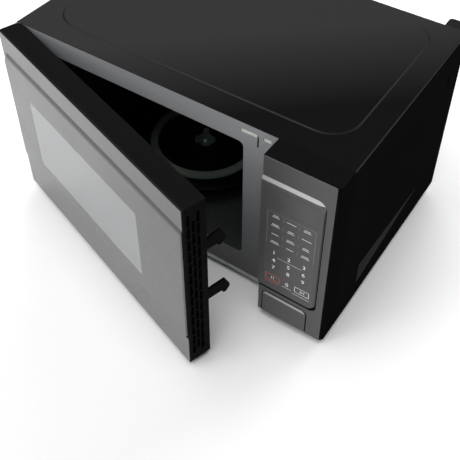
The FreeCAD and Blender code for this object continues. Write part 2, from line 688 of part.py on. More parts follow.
def fan_shroud():
    half = FAN_R + 5
    plate = box(FAN_X - half, FAN_X + half, FAN_Y1 - 24, FAN_Y1 + 8, FAN_Z - half, FAN_Z + half)
    plate = plate.cut(rod(FAN_R + 2.5, 60, V(FAN_X, FAN_Y1 - 40, FAN_Z), Y_AXIS))
    bars = [box(FAN_X - half, FAN_X + half, FAN_Y1 + 4, FAN_Y1 + 7, FAN_Z - 4, FAN_Z + 4),
            box(FAN_X - 4, FAN_X + 4, FAN_Y1 + 4, FAN_Y1 + 7, FAN_Z - half, FAN_Z + half)]
    return join(plate, *bars)


def fan_impeller():
    hub = rod(12.0, 16, V(FAN_X, FAN_Y0, FAN_Z), Y_AXIS)
    blades = []
    for k in range(6):
        blade = box(-10, 10, -0.9, 0.9, 10, FAN_R)
        blade.rotate(V(0, 0, 0), Z_AXIS, 32)
        blade.translate(V(0, 8, 0))
        blade.rotate(V(0, 0, 0), Y_AXIS, 60 * k)
        blade.translate(V(FAN_X, FAN_Y0, FAN_Z))
        blades.append(blade)
    reach = tube(FAN_R, 11.0, 16, V(FAN_X, FAN_Y0, FAN_Z), Y_AXIS)
    shaft_hole = rod(2.0 + PIN_FIT, 9, V(FAN_X, FAN_Y0 + 8, FAN_Z), Y_AXIS)
    return join(hub, *[b.common(reach) for b in blades]).cut(shaft_hole)


def fan_motor():
    y = FAN_Y0 + 16.5
    can = rod(17.0, FAN_Y1 + 3.8 - y - 0.2, V(FAN_X, y, FAN_Z), Y_AXIS)
    shaft = rod(2.0, 9, V(FAN_X, y - 8.2, FAN_Z), Y_AXIS)
    return join(can, shaft)


def cavity_lamp():
    """Lamp holder with its bulb, lighting through the wall perforations."""
    x = BAY_X0 + 0.3
    base = box(x + 16, x + 20, LAMP_Y - 16, LAMP_Y + 16, LAMP_Z - 11, LAMP_Z + 11)
    bulb = rod(6.5, 12, V(x + 1, LAMP_Y, LAMP_Z), X_AXIS)
    tip = [e for e in bulb.Edges if e.BoundBox.XMax < x + 2]
    bulb = bulb.makeFillet(5.5, tip)
    neck = rod(4.5, 6, V(x + 11, LAMP_Y, LAMP_Z), X_AXIS)
    legs = []
    for side in (-15, 15):
        y = LAMP_Y + side
        legs.append(box(x, x + 16, y - 1, y + 1, LAMP_Z - 8, LAMP_Z + 8))
    return join(base, bulb, neck, *legs)


def thermal_cutouts():
    made = []
    for x, y, z in ((MAG_X1 - 20, MAG_MID.y, MAG_Z1), (CAV_XM + 40, CAV_YM, CAV_Z1 + CAVITY_T)):
        disc = rod(8.0, 5, V(x, y, z))
        flange = box(x - 12, x + 12, y - 4, y + 4, z, z + 1)
        tabs = [box(x + s * 4 - 0.5, x + s * 4 + 0.5, y - 3, y + 3, z + 5, z + 13) for s in (-1, 1)]
        made.append(join(disc, flange, *tabs))
    return group(made)


def filter_board():
    """Mains filter on a small board beside the cord entry."""
    x0, y0, z0 = BAY_X0 + 8, DEPTH - 78.0, FLOOR_Z
    board = box(x0, x0 + 1.6, y0, y0 + 62, z0 + 4, z0 + 54)
    choke = box(x0 + 1.6, x0 + 20, y0 + 8, y0 + 28, z0 + 12, z0 + 36)
    fuse = rod(3.2, 26, V(x0 + 4.4, y0 + 32, z0 + 44), Y_AXIS)
    legs = [box(x0, x0 + 6, y, y + 4, z0, z0 + 8) for y in (y0 + 6, y0 + 50)]
    return join(board, choke, fuse, *legs)


# ======================================================================= latch bracket and switches
WALL_Y1 = 38.0
BRACKET_Z0 = Z_BASE + 75.0
BRACKET_Z1 = Z_BASE + UPPER_Z + 28.0
LEVER_PIVOT = V(0, 18.0, Z_BASE + 58.0)
LEVER_X0 = PANEL_X + 4.5
LEVER_X1 = LEVER_X0 + 6.5
SPRING_ROOM = 11.0       # pin length beside the lever that the torsion coil sits on
PRIMARY_Z = UPPER_Z + 8.0
SECONDARY_Z = 101.0
SWITCHES = {"primary": PRIMARY_Z, "monitor": (PRIMARY_Z + SECONDARY_Z) / 2, "secondary": SECONDARY_Z}
SWITCH_REACH = {"primary": 30.6, "monitor": 33.0, "secondary": 36.9}
PLUNGER_R = 1.6
SWITCH_HALF = 12.0       # half a switch's height


def latch_bracket():
    """Nylon channel behind the front plate: two ledges that catch the hooks, and the slot tabs."""
    x0, x1 = SLOT_X0 - 3.0, SLOT_X1 + 4.0
    y0 = SHEET_T + 0.2
    pieces = [box(x0, x0 + SKIN_T, y0, WALL_Y1 + SKIN_T, BRACKET_Z0, BRACKET_Z1),
              box(x1 - SKIN_T, x1, y0, WALL_Y1 + SKIN_T, BRACKET_Z0, BRACKET_Z1),
              box(x0, x1, WALL_Y1, WALL_Y1 + SKIN_T, BRACKET_Z0, BRACKET_Z1)]
    for hook in HOOKS.values():
        ledge = Z_BASE + hook["head0"] - FIT
        pieces.append(box(x0, x1, 4.0, 16.0, ledge - 7, ledge))
    tab_x0 = PANEL_X + TAB_SLOTS[0][0] - 3
    pieces.append(box(x0, x0 + 6, y0, y0 + 2, BRACKET_Z1 - 4, TAB_Z1 + 3))
    pieces.append(box(tab_x0, x0 + 6, y0, y0 + 2, TAB_Z1 + 0.5, TAB_Z1 + 3))
    for a, b in TAB_SLOTS:
        pieces.append(box(PANEL_X + a - 1, PANEL_X + b + 1, y0, y0 + 2, TAB_Z0 - 1, TAB_Z1 + 3))
    pieces.append(box(x1 - SKIN_T, x1, 12.0, 24.0, LEVER_PIVOT.z - 7, BRACKET_Z0))
    body = join(*pieces)
    cuts = [rod(2.0, 30, V(x0, LEVER_PIVOT.y, LEVER_PIVOT.z), X_AXIS)]
    for z in SWITCHES.values():
        cuts.append(rod(PLUNGER_R + 1, 6, V(HOOK_X, WALL_Y1 - 1, Z_BASE + z), Y_AXIS))
    return body.cut(cuts)


def lever_pin():
    x0 = SLOT_X1 + 4.0 - SKIN_T
    end = LEVER_X1 + SPRING_ROOM
    shank = rod(1.95, end - x0, V(x0, LEVER_PIVOT.y, LEVER_PIVOT.z), X_AXIS)
    head = rod(3.4, 1.4, V(end, LEVER_PIVOT.y, LEVER_PIVOT.z), X_AXIS)
    tip = rod(3.4, 1.2, V(x0 - 1.2, LEVER_PIVOT.y, LEVER_PIVOT.z), X_AXIS)
    return join(shank, head, tip)


def release_lever():
    """Rocker between the open button and the lower hook."""
    hub = rod(6.0, LEVER_X1 - LEVER_X0, V(LEVER_X0, LEVER_PIVOT.y, LEVER_PIVOT.z), X_AXIS)
    foot = box(LEVER_X0 + 2, LEVER_X1, 14.0, 19.0, POST_Z - 5, LEVER_PIVOT.z)
    back = box(LEVER_X0, LEVER_X1, LEVER_PIVOT.y, 34.0, LEVER_PIVOT.z, LEVER_PIVOT.z + 6)
    cross = box(HOOK_X - 2, LEVER_X1, 26.0, 34.0, LEVER_PIVOT.z, LEVER_PIVOT.z + 6)
    lift_top = Z_BASE + HOOKS["lower"]["head0"] - LATCH_DROP - 1.2
    lift = box(HOOK_X - 2, HOOK_X + 2, 26.0, 34.0, LEVER_PIVOT.z, lift_top)
    bore = rod(1.95 + PIN_FIT, 20, V(LEVER_X0 - 2, LEVER_PIVOT.y, LEVER_PIVOT.z), X_AXIS)
    return join(hub, foot, back, cross, lift).cut(bore)


def lever_spring():
    """Torsion coil round the pin, beside the lever, that returns lever and button."""
    turns = 4
    pitch = (SPRING_ROOM - 2.6) / turns
    return coil(3.2, 0.7, pitch, turns, V(LEVER_X1 + 1.3, LEVER_PIVOT.y, LEVER_PIVOT.z), X_AXIS)


def door_switch(name):
    z = Z_BASE + SWITCHES[name]
    y0 = WALL_Y1 + SKIN_T + 0.1
    body = box(HOOK_X - 5, HOOK_X + 5, y0, y0 + 16, z - SWITCH_HALF, z + SWITCH_HALF)
    tabs = []
    for tab_z in (z - 9, z, z + 9):
        tabs.append(box(HOOK_X - 3, HOOK_X + 3, y0 + 16, y0 + 23, tab_z - 0.4, tab_z + 0.4))
    return join(body, *tabs).cut(rod(PLUNGER_R + PIN_FIT, 8, V(HOOK_X, y0, z), Y_AXIS))


def switch_plunger(name):
    z = Z_BASE + SWITCHES[name]
    y0 = SWITCH_REACH[name]
    return rod(PLUNGER_R, WALL_Y1 + SKIN_T + 5 - y0, V(HOOK_X, y0, z), Y_AXIS)


# ======================================================================= control panel
KEYPAD_X0 = PANEL_X + 8.0
KEYPAD_X1 = PANEL_X + 77.0
KEYPAD_Z0 = BAND_Z0 + 12.0
KEYPAD_Z1 = BAND_Z1 - 45.0
DISPLAY_Z0 = KEYPAD_Z1 + 3.0
DISPLAY_Z1 = BAND_Z1 - 14.0
BAND_PANEL_X1 = PANEL_X + 82.5
BEZEL_EDGE_R = 6.5


def band(x0, x1, r_left, r_right):
    """Raised band: a wide slope at its top, steep slopes elsewhere."""
    back = outline(x0, x1, BAND_Z0, BAND_Z1, -FACE_T + 0.01, r_left, r_right)
    inset_l = 1.0 if r_left else 0.01
    inset_r = 1.0 if r_right else 0.01
    front = outline(x0 + inset_l, x1 - inset_r, BAND_Z0 + 1.0, BAND_Z1 - BAND_BEVEL,
                    -FACE_T - BAND_PROUD, r_left, r_right)
    return Part.makeLoft([back, front], True, True)


def band_groove(x0, x1, r_left, r_right):
    """Shallow groove under the band and round its rounded end."""
    left = x0 - GROOVE if r_left else x0 - 5
    right = x1 + GROOVE if r_right else x1 + 5
    wide = outline(left, right, BAND_Z0 - GROOVE_LOW, BAND_Z1 - 2, -FACE_T - 0.5, r_left, r_right)
    return slab(wide, GROOVE + 0.5)


def control_bezel():
    x0, x1 = PANEL_X, X_RIGHT
    outer = box(x0, x1, -FACE_T, 0, Z_BASE, Z_TOP)
    outer = round_edges(outer, BEZEL_EDGE_R, Z_AXIS, near=lambda c: c.x > x1 - 1 and c.y < -1)
    outer = soften_face(outer, -FACE_T)
    inner = box(x0 + SKIN_T, x1 - SKIN_T, -FACE_T + SKIN_T, 1, Z_BASE + SKIN_T, Z_TOP - SKIN_T)
    inner = round_edges(inner, BEZEL_EDGE_R - SKIN_T, Z_AXIS,
                        near=lambda c: c.x > x1 - 5 and c.y < -FACE_T / 2)
    body = outer.cut([inner, band_groove(x0, BAND_PANEL_X1, 0, BAND_END_R)])
    body = body.fuse(band(x0, BAND_PANEL_X1, 0, BAND_END_R))
    body = body.fuse(box(x0, BAND_PANEL_X1 - BAND_END_R, -FACE_T, -FACE_T + SKIN_T, BAND_Z0, BAND_Z1))
    body = body.fuse([rod(4.0, 12, V(x, -12, z), Y_AXIS) for x, z in bezel_screw_places()])
    face = -FACE_T - BAND_PROUD
    mouth_top = Z_BASE + BUTTON_H + BUTTON_GAP
    mouth = box(BUTTON_X0 - BUTTON_GAP, BUTTON_X1 + BUTTON_GAP, -FACE_T - 2, -FACE_T + SKIN_T + 1,
                Z_BASE + 3.0 - FIT, mouth_top)
    mouth = round_edges(mouth, BUTTON_CORNER + BUTTON_GAP, Y_AXIS, near=lambda c: c.z > mouth_top - 1)
    cuts = [mouth, box(KEYPAD_X0, KEYPAD_X1, face - 1, face + 0.6, KEYPAD_Z0, KEYPAD_Z1),
            box(KEYPAD_X0 + 3, KEYPAD_X1 - 3, face - 1, -FACE_T + SKIN_T + 1, DISPLAY_Z0, DISPLAY_Z1),
            box(PANEL_X + 30, PANEL_X + 60, face - 1, -FACE_T + SKIN_T + 1,
                KEYPAD_Z0 + 4, KEYPAD_Z0 + 7)]
    cuts += [rod(SCREW_R + 0.1, 11, V(x, -10, z), Y_AXIS) for x, z in bezel_screw_places()]
    return body.cut(cuts)


def keypad():
    """Flat membrane over the switch contacts, set flush in the band."""
    face = -FACE_T - BAND_PROUD
    return box(KEYPAD_X0 + 0.1, KEYPAD_X1 - 0.1, face, face + 0.5, KEYPAD_Z0 + 0.1, KEYPAD_Z1 - 0.1)


def display_window():
    face = -FACE_T - BAND_PROUD
    x0, x1 = KEYPAD_X0 + 3.1, KEYPAD_X1 - 3.1
    return box(x0, x1, face, face + 2.0, DISPLAY_Z0 + 0.1, DISPLAY_Z1 - 0.1)


def control_board():
    """Circuit board with display module, relays and a small supply transformer."""
    x0, x1 = PANEL_X + 12, X_RIGHT - 16
    z0, z1 = Z_BASE + 70, Z_TOP - 26
    y = -20.0
    board = box(x0, x1, y, y + 1.6, z0, z1)
    parts = [box(KEYPAD_X0 + 8, KEYPAD_X1 - 8, y - 6, y, DISPLAY_Z0 + 3, DISPLAY_Z1 - 3),
             box(x0 + 6, x0 + 34, y + 1.6, y + 15, z1 - 40, z1 - 18)]
    for k in range(3):
        zk = z0 + 12 + k * 22
        parts.append(box(x0 + 8, x0 + 23, y + 1.6, y + 16, zk, zk + 17))
    return join(board, *parts)


def open_button():
    """Push plate with rounded upper corners, side skirts and the post that works the lever."""
    face = -FACE_T - 1.5
    z0, z1 = Z_BASE + 3.0, Z_BASE + BUTTON_H
    back = outline(BUTTON_X0, BUTTON_X1, z0, z1, face + 1.0)
    front = outline(BUTTON_X0 + 1, BUTTON_X1 - 1, z0 + 0.6, z1 - BUTTON_BEVEL, face)
    plate = box(BUTTON_X0, BUTTON_X1, face + 1.0, face + 4.0, z0, z1)
    plate = round_edges(plate, BUTTON_CORNER, Y_AXIS, near=lambda c: c.z > z1 - 1)
    cap = Part.makeLoft([back, front], True, True)
    cap = round_edges(box(BUTTON_X0, BUTTON_X1, face - 1, face + 2, z0 - 1, z1), BUTTON_CORNER,
                      Y_AXIS, near=lambda c: c.z > z1 - 1).common(cap)
    post = box(POST_X0, POST_X1, face + 3, 13.4, POST_Z - 1.5, POST_Z + 1.5)
    ribs = [box(x, x + 1.5, face + 3, -FACE_T + 12, z0 + 4, z1 - 8)
            for x in (POST_X1 + 3, BUTTON_X1 - 6)]
    return join(plate, cap, post, *ribs)


# ======================================================================= door
FRAME_Y0 = -FACE_T + 3.0         # behind the front cover
COVER_Y0 = -8.0                  # rear cover starts here
POCKET = 3.4
POCKET_ROWS = 13
POCKET_COLUMNS = ((-27.0, 0.0), (-20.4, 0.5), (-13.9, 0.0))
POCKET_W = 4.4
FREE_WALL = POCKET + 1.4
INNER_X1 = HOOK_X - 4.5


def door_envelope(y0, y1):
    """The door's outline seen from above, between two planes, with its swept rear corner."""
    block = box(X_LEFT, DOOR_X, y0, y1, Z_BASE, Z_TOP)
    corner = box(X_LEFT - 1, PIVOT.x, PIVOT.y, 2, Z_BASE - 1, Z_TOP + 1)
    swept = rod(HINGE_SWEEP_R, HEIGHT + 4, V(PIVOT.x, PIVOT.y, Z_BASE - 2))
    return block.cut(corner.cut(swept))


def hinge_notches():
    """Room for each hinge arm over the whole swing."""
    cuts = []
    for z in HINGE_Z.values():
        cuts.append(box(X_LEFT - 1, PIVOT.x + ARM_SWEEP - 1, PIVOT.y - ARM_SWEEP, 2,
                        z - 1.0, z + ARM_T + 1.0))
    return cuts


def pin_bores():
    top = HINGE_Z["upper"] + ARM_T
    low = HINGE_Z["lower"]
    radius = HINGE_PIN_R + PIN_FIT
    return [rod(radius, 8.0, V(PIVOT.x, PIVOT.y, top)), rod(radius, 8.0, V(PIVOT.x, PIVOT.y, low - 8.0))]


def window_box(y0, y1, grow=0.0):
    return box(X_LEFT + WINDOW_LEFT - grow, DOOR_X - WINDOW_RIGHT + grow, y0, y1,
               Z_BASE + WINDOW_BOTTOM - grow, Z_TOP - WINDOW_TOP_DROP + grow)


def door_front():
    """Painted front cover with the raised band and the window cut-out."""
    body = soften_face(door_envelope(-FACE_T, FRAME_Y0), -FACE_T)
    x0, x1 = X_LEFT + 3.0, DOOR_X - 1.6
    body = body.cut(band_groove(x0, x1, BAND_END_R, 0))
    body = body.fuse([band(x0, x1, BAND_END_R, 0),
                      box(x0 + BAND_END_R, x1, -FACE_T, -FACE_T + 2, BAND_Z0, BAND_Z1)])
    return body.cut(window_box(-FACE_T - 5, FRAME_Y0 + 1)).removeSplitter()


def door_window():
    """Clear pane, flush with the band, with a flange behind the cover's face."""
    return window_box(-FACE_T - BAND_PROUD, FRAME_Y0, -0.1)


def door_frame():
    """Black moulding behind the front cover: a ring with a pocketed free side."""
    ring = door_envelope(FRAME_Y0, COVER_Y0)
    hollow = box(X_LEFT + 3.0, DOOR_X - FREE_WALL, FRAME_Y0 - 1, COVER_Y0 + 1, Z_BASE + 4, Z_TOP - 4)
    blocks = [box(X_LEFT, PIVOT.x + 9, FRAME_Y0, COVER_Y0, HINGE_Z["upper"] + ARM_T + 1, Z_TOP),
              box(X_LEFT, PIVOT.x + 9, FRAME_Y0, COVER_Y0, Z_BASE, HINGE_Z["lower"] - 1)]
    ring = ring.cut(hollow)
    ring = ring.fuse([b.common(door_envelope(FRAME_Y0, COVER_Y0)) for b in blocks])
    pitch = (HEIGHT - 24.0) / POCKET_ROWS
    cuts = []
    for y, stagger in POCKET_COLUMNS:
        for k in range(POCKET_ROWS):
            z = Z_BASE + 14 + (k + stagger * 0.8) * pitch
            if z + pitch - 2.5 < Z_TOP - 6:
                cuts.append(box(DOOR_X - POCKET, DOOR_X + 1, y, y + POCKET_W, z, z + pitch - 2.5))
    return ring.cut(cuts + hinge_notches() + pin_bores()).removeSplitter()


def choke_cover():
    """Black ring that closes the door's rear face round the inner window."""
    ring = door_envelope(COVER_Y0, -DOOR_GAP)
    cuts = [window_box(COVER_Y0 - 1, 1, 14.0)]
    for hook in HOOKS.values():
        cuts.append(box(HOOK_X - 2.6, HOOK_X + 2.6, COVER_Y0 - 1, 1,
                        Z_BASE + hook["arm0"] - LATCH_DROP - 0.6, Z_BASE + hook["arm1"] + 0.6))
    return ring.cut(cuts + hinge_notches()).removeSplitter()


def choke_frame():
    """Formed steel inner door: a tray with a folded rim that holds the screen."""
    x0, x1 = X_LEFT + 3.3, INNER_X1
    z0, z1 = Z_BASE + 18.0, Z_TOP - 18.0
    tray = shell_box(x0, x1, -26.0, COVER_Y0 - 0.2, z0, z1, SHEET_T, "-y")
    return tray.cut(window_box(-30, 2, 6.0))


def door_screen():
    """Perforated metal sheet that keeps the microwaves in."""
    return window_box(COVER_Y0 - 1.8, COVER_Y0 - 1.3, 12.0)


def inner_film():
    """Clear sheet on the cavity side of the screen."""
    return window_box(COVER_Y0 - 0.1, COVER_Y0 + 1.2, 13.8)


def latch_hooks():
    """Two hooks on one bar; the bar slides up and down inside the door's free side."""
    x0, x1 = HOOK_X - 1.8, HOOK_X + 1.8
    low, high = HOOKS["lower"], HOOKS["upper"]
    bar_x1 = DOOR_X - FREE_WALL - 0.4
    bar_z0, bar_z1 = Z_BASE + low["arm0"] - 14, Z_BASE + high["arm1"] + 12
    pieces = [box(INNER_X1 + 0.8, bar_x1, -20.0, -12.0, bar_z0, bar_z1)]
    for hook in HOOKS.values():
        a0, a1 = Z_BASE + hook["arm0"], Z_BASE + hook["arm1"]
        h0, h1 = Z_BASE + hook["head0"], Z_BASE + hook["head1"]
        r = hook["reach"]
        points = [V(x0, -14, a0), V(x0, r - 9.5, a0), V(x0, r - 9.5, h0), V(x0, r - 5, h0),
                  V(x0, r, h0 + 6), V(x0, r, h0 + 11), V(x0, r - 6, h1), V(x0, r - 12, h1),
                  V(x0, 2, a1), V(x0, -14, a1), V(x0, -14, a0)]
        pieces.append(Part.Face(Part.makePolygon(points)).extrude(V(x1 - x0, 0, 0)))
    return join(*pieces)


def latch_spring():
    x = (INNER_X1 + DOOR_X - FREE_WALL) / 2
    z = Z_BASE + HOOKS["upper"]["arm1"] + 18
    return coil(2.2, 0.5, 2.0, 12, V(x, -16.0, z))


def hinge(name):
    """Steel bracket behind the front plate, its arm reaching forward, and its pin."""
    z = HINGE_Z[name]
    turn = 1 if name == "upper" else -1
    arm = box(PIVOT.x - ARM_W / 2, PIVOT.x + ARM_W / 2, PIVOT.y - 6.0, SHEET_T + HINGE_T, z, z + ARM_T)
    arm = round_edges(arm, 5.0, Z_AXIS, near=lambda c: c.y < PIVOT.y)
    low, high = (z - 16, z + ARM_T + 4) if name == "upper" else (z, z + 26)
    flange = box(X_LEFT + CASE_T + 1, CAV_X0 - CAVITY_T - 2, SHEET_T, SHEET_T + HINGE_T, low, high)
    start = z + ARM_T / 2
    pin = rod(HINGE_PIN_R, ARM_T / 2 + 5.5, V(PIVOT.x, PIVOT.y, start), Z_AXIS * turn)
    holes = [rod(SCREW_R + 0.1, 6, V(x, 0, screw_z), Y_AXIS) for x, screw_z in hinge_screw_places()]
    return join(arm, flange, pin).cut(holes)


def front_screws():
    """Screws from behind the front plate: one through each hinge flange, three into the bezel."""
    made = [screw(V(x, SHEET_T, z), Y_AXIS, shank_r=SCREW_R, shank=7.0) for x, z in bezel_screw_places()]
    for x, z in hinge_screw_places():
        made.append(screw(V(x, SHEET_T + HINGE_T, z), Y_AXIS, shank_r=SCREW_R, shank=SHEET_T + HINGE_T))
    return group(made)


# ======================================================================= write every node
def build():
    fixed = {
        "outer_case": outer_case(), "base_plate": base_plate(), "feet": feet(),
        "rear_panel": rear_panel(), "cord_gland": cord_gland(), "rear_spacers": rear_spacers(),
        "rear_screws": rear_screws(), "front_plate": front_plate(), "cavity": cavity(),
        "turntable_motor": turntable_motor(), "drive_coupler": drive_coupler(),
        "glass_turntable": glass_turntable(), "roller_ring": roller_ring(),
        "waveguide": waveguide(), "waveguide_cover": waveguide_cover(),
        "magnetron_yoke": magnetron_yoke(), "magnetron_tube": magnetron_tube(),
        "magnetron_fins": magnetron_fins(), "magnetron_filter": magnetron_filter(),
        "transformer_core": transformer_core(), "transformer_windings": transformer_windings(),
        "capacitor": capacitor(), "capacitor_clamp": capacitor_clamp(), "diode": diode(),
        "fan_shroud": fan_shroud(), "fan_impeller": fan_impeller(), "fan_motor": fan_motor(),
        "cavity_lamp": cavity_lamp(), "thermal_cutouts": thermal_cutouts(),
        "filter_board": filter_board(), "latch_bracket": latch_bracket(), "lever_pin": lever_pin(),
        "release_lever": release_lever(), "control_bezel": control_bezel(), "keypad": keypad(),
        "display_window": display_window(), "control_board": control_board(),
        "open_button": open_button(), "lever_spring": lever_spring(),
        "front_screws": front_screws(), "upper_hinge": hinge("upper"),
        "lower_hinge": hinge("lower"),
    }
    for k in range(3):
        fixed[f"roller_{k + 1}"] = roller(k)
    for name in SWITCHES:
        fixed[f"{name}_switch"] = door_switch(name)
        fixed[f"{name}_plunger"] = switch_plunger(name)
    swung = {
        "door_front": door_front(), "door_window": door_window(), "door_frame": door_frame(),
        "choke_cover": choke_cover(), "choke_frame": choke_frame(), "door_screen": door_screen(),
        "inner_film": inner_film(), "latch_hooks": latch_hooks(), "latch_spring": latch_spring(),
    }
    for name, shape in fixed.items():
        write(name, shape)
    for name, shape in swung.items():
        write(name, opened(shape))


build()
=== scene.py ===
"""A compact countertop microwave oven with its door ajar, on a plain pale floor."""

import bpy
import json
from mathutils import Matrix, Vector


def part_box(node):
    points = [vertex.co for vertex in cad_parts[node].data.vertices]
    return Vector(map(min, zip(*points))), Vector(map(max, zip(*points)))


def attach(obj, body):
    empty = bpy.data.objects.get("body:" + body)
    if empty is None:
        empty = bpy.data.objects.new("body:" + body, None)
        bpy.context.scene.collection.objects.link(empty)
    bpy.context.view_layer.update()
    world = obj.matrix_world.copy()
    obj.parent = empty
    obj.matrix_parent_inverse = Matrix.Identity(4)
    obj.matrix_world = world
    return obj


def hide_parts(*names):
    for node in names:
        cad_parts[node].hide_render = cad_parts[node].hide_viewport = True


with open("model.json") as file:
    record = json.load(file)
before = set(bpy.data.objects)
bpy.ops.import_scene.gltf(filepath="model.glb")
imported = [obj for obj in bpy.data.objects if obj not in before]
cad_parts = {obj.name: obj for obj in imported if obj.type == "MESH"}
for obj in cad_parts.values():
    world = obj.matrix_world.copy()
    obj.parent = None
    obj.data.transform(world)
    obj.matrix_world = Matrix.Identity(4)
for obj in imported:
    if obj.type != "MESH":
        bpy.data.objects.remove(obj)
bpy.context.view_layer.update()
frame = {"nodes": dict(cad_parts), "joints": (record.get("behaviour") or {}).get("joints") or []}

import json
import math
import bpy
from mathutils import Vector

MM = 0.001

# ---------------------------------------------------------------- outer case
# One wrap of 0.8 mm sheet steel folded over the top and both sides, with a pressed
# panel in its top and a tapered finger hollow in its right side. It is powder coated
# black and baked, so it has a satin skin with a very fine orange peel.


def linear(hex_colour):
    """Linear colour from an sRGB hex value."""
    parts = [int(hex_colour[i:i + 2], 16) / 255 for i in (1, 3, 5)]
    return (*[c / 12.92 if c <= 0.04045 else ((c + 0.055) / 1.055) ** 2.4 for c in parts], 1.0)


def add(tree, kind, values=None, links=None, **settings):
    """Adds one node with its settings, its socket values and its incoming links."""
    made = tree.nodes.new(kind)
    for name, value in settings.items():
        setattr(made, name, value)
    for socket, value in (values or {}).items():
        made.inputs[socket].default_value = value
    for socket, source in (links or {}).items():
        tree.links.new(source, made.inputs[socket])
    return made


def finish(name, colour, values):
    """A new material: its colour and its constants on the shader's own sockets."""
    made = bpy.data.materials.new(name)
    made.use_nodes = True
    shader = made.node_tree.nodes["Principled BSDF"]
    shader.inputs["Base Color"].default_value = linear(colour)
    for socket, value in values.items():
        shader.inputs[socket].default_value = value
    return made


def surface(made, grain_mm, height_mm, rough, tint=None, patch_mm=60.0):
    """Gives a finish its fine relief, an uneven gloss and, if asked, a drift between two tints."""
    tree = made.node_tree
    shader = tree.nodes["Principled BSDF"]
    place = add(tree, "ShaderNodeTexCoord").outputs["Object"]
    grain = add(tree, "ShaderNodeTexNoise", {"Scale": 1 / (grain_mm * MM), "Detail": 3.0},
                {"Vector": place})
    patch = add(tree, "ShaderNodeTexNoise", {"Scale": 1 / (patch_mm * MM), "Detail": 4.0},
                {"Vector": place})
    bump = add(tree, "ShaderNodeBump", {"Strength": 0.6, "Distance": height_mm * MM},
               {"Height": grain.outputs["Fac"]})
    gloss = add(tree, "ShaderNodeMapRange",
                {"From Min": 0.3, "From Max": 0.7, "To Min": rough[0], "To Max": rough[1]},
                {"Value": patch.outputs["Fac"]})
    tree.links.new(bump.outputs["Normal"], shader.inputs["Normal"])
    tree.links.new(gloss.outputs["Result"], shader.inputs["Roughness"])
    if tint:
        drift = add(tree, "ShaderNodeMix", {"A": linear(tint[0]), "B": linear(tint[1])},
                    {"Factor": patch.outputs["Fac"]}, data_type="RGBA")
        tree.links.new(drift.outputs["Result"], shader.inputs["Base Color"])
    return made


def paint(made, *names):
    """Puts one finish on these pieces of the frame."""
    for name in names:
        piece = frame["nodes"][name]
        if not piece.material_slots:
            piece.data.materials.append(made)
        for slot in piece.material_slots:
            slot.material = made


PAINTED_SHEEN_FROM = -60 * MM        # the painted reflection brightens between these two, along its drift
PAINTED_SHEEN_TO = 100 * MM
PAINTED_SHEEN_DRIFT_DEG = -42.0

# Black polyester powder on steel: deep black sides with no sheen. A painted reflection greys the level
# faces, more towards the left and the rear, and painted highlights run pale along the folds.
powder_black = finish("powder_coated_steel_black", "#121213", {"Specular IOR Level": 0.0})
surface(powder_black, 2.2, 0.04, (0.22, 0.32))
tree = powder_black.node_tree
place = add(tree, "ShaderNodeTexCoord").outputs["Object"]
facing = add(tree, "ShaderNodeNewGeometry").outputs["Normal"]
sides = add(tree, "ShaderNodeVectorMath", {}, {0: facing}, operation="ABSOLUTE")
parts = add(tree, "ShaderNodeSeparateXYZ", links={"Vector": sides.outputs["Vector"]})
level = add(tree, "ShaderNodeMapRange", {"From Min": 0.90, "From Max": 0.99},
            {"Value": parts.outputs["Z"]})
squarest = add(tree, "ShaderNodeMath", links={0: parts.outputs["X"], 1: parts.outputs["Z"]},
               operation="MAXIMUM")
squarest = add(tree, "ShaderNodeMath", links={0: squarest.outputs["Value"], 1: parts.outputs["Y"]},
               operation="MAXIMUM")
edge = add(tree, "ShaderNodeMapRange", {"From Min": 0.93, "From Max": 0.80},
           {"Value": squarest.outputs["Value"]})
swept = add(tree, "ShaderNodeMapping", {"Rotation": (0.0, 0.0, math.radians(PAINTED_SHEEN_DRIFT_DEG))},
            {"Vector": place})
away = add(tree, "ShaderNodeSeparateXYZ", links={"Vector": swept.outputs["Vector"]})
depth = add(tree, "ShaderNodeMapRange", {"From Min": PAINTED_SHEEN_FROM, "From Max": PAINTED_SHEEN_TO},
            {"Value": away.outputs["Y"]})
# Painted reflection: the level faces are painted paler, more towards the left and the rear.
painted_sheen = add(tree, "ShaderNodeMix", {"A": linear("#121213"), "B": linear("#2f2f30")},
           {"Factor": depth.outputs["Result"]}, data_type="RGBA")
top_with_painted_sheen = add(tree, "ShaderNodeMix", {"A": linear("#121213")},
             {"Factor": level.outputs["Result"], "B": painted_sheen.outputs["Result"]}, data_type="RGBA")
# Painted highlight: faces tilted between the main directions, along folds and fillets, are painted
# paler.
edge_painted_highlight = add(tree, "ShaderNodeMix", {"B": linear("#373738")},
           {"Factor": edge.outputs["Result"], "A": top_with_painted_sheen.outputs["Result"]}, data_type="RGBA")
tree.links.new(edge_painted_highlight.outputs["Result"], tree.nodes["Principled BSDF"].inputs["Base Color"])
paint(powder_black, "outer_case")

# ---------------------------------------------------------------- base and rear
# Base plate and rear panel are pressed from galvanised sheet. The base stays bare zinc,
# the rear is coated with the case. Round holes let the cooling air through both.
ZINC_SPANGLE_MM = 9.0

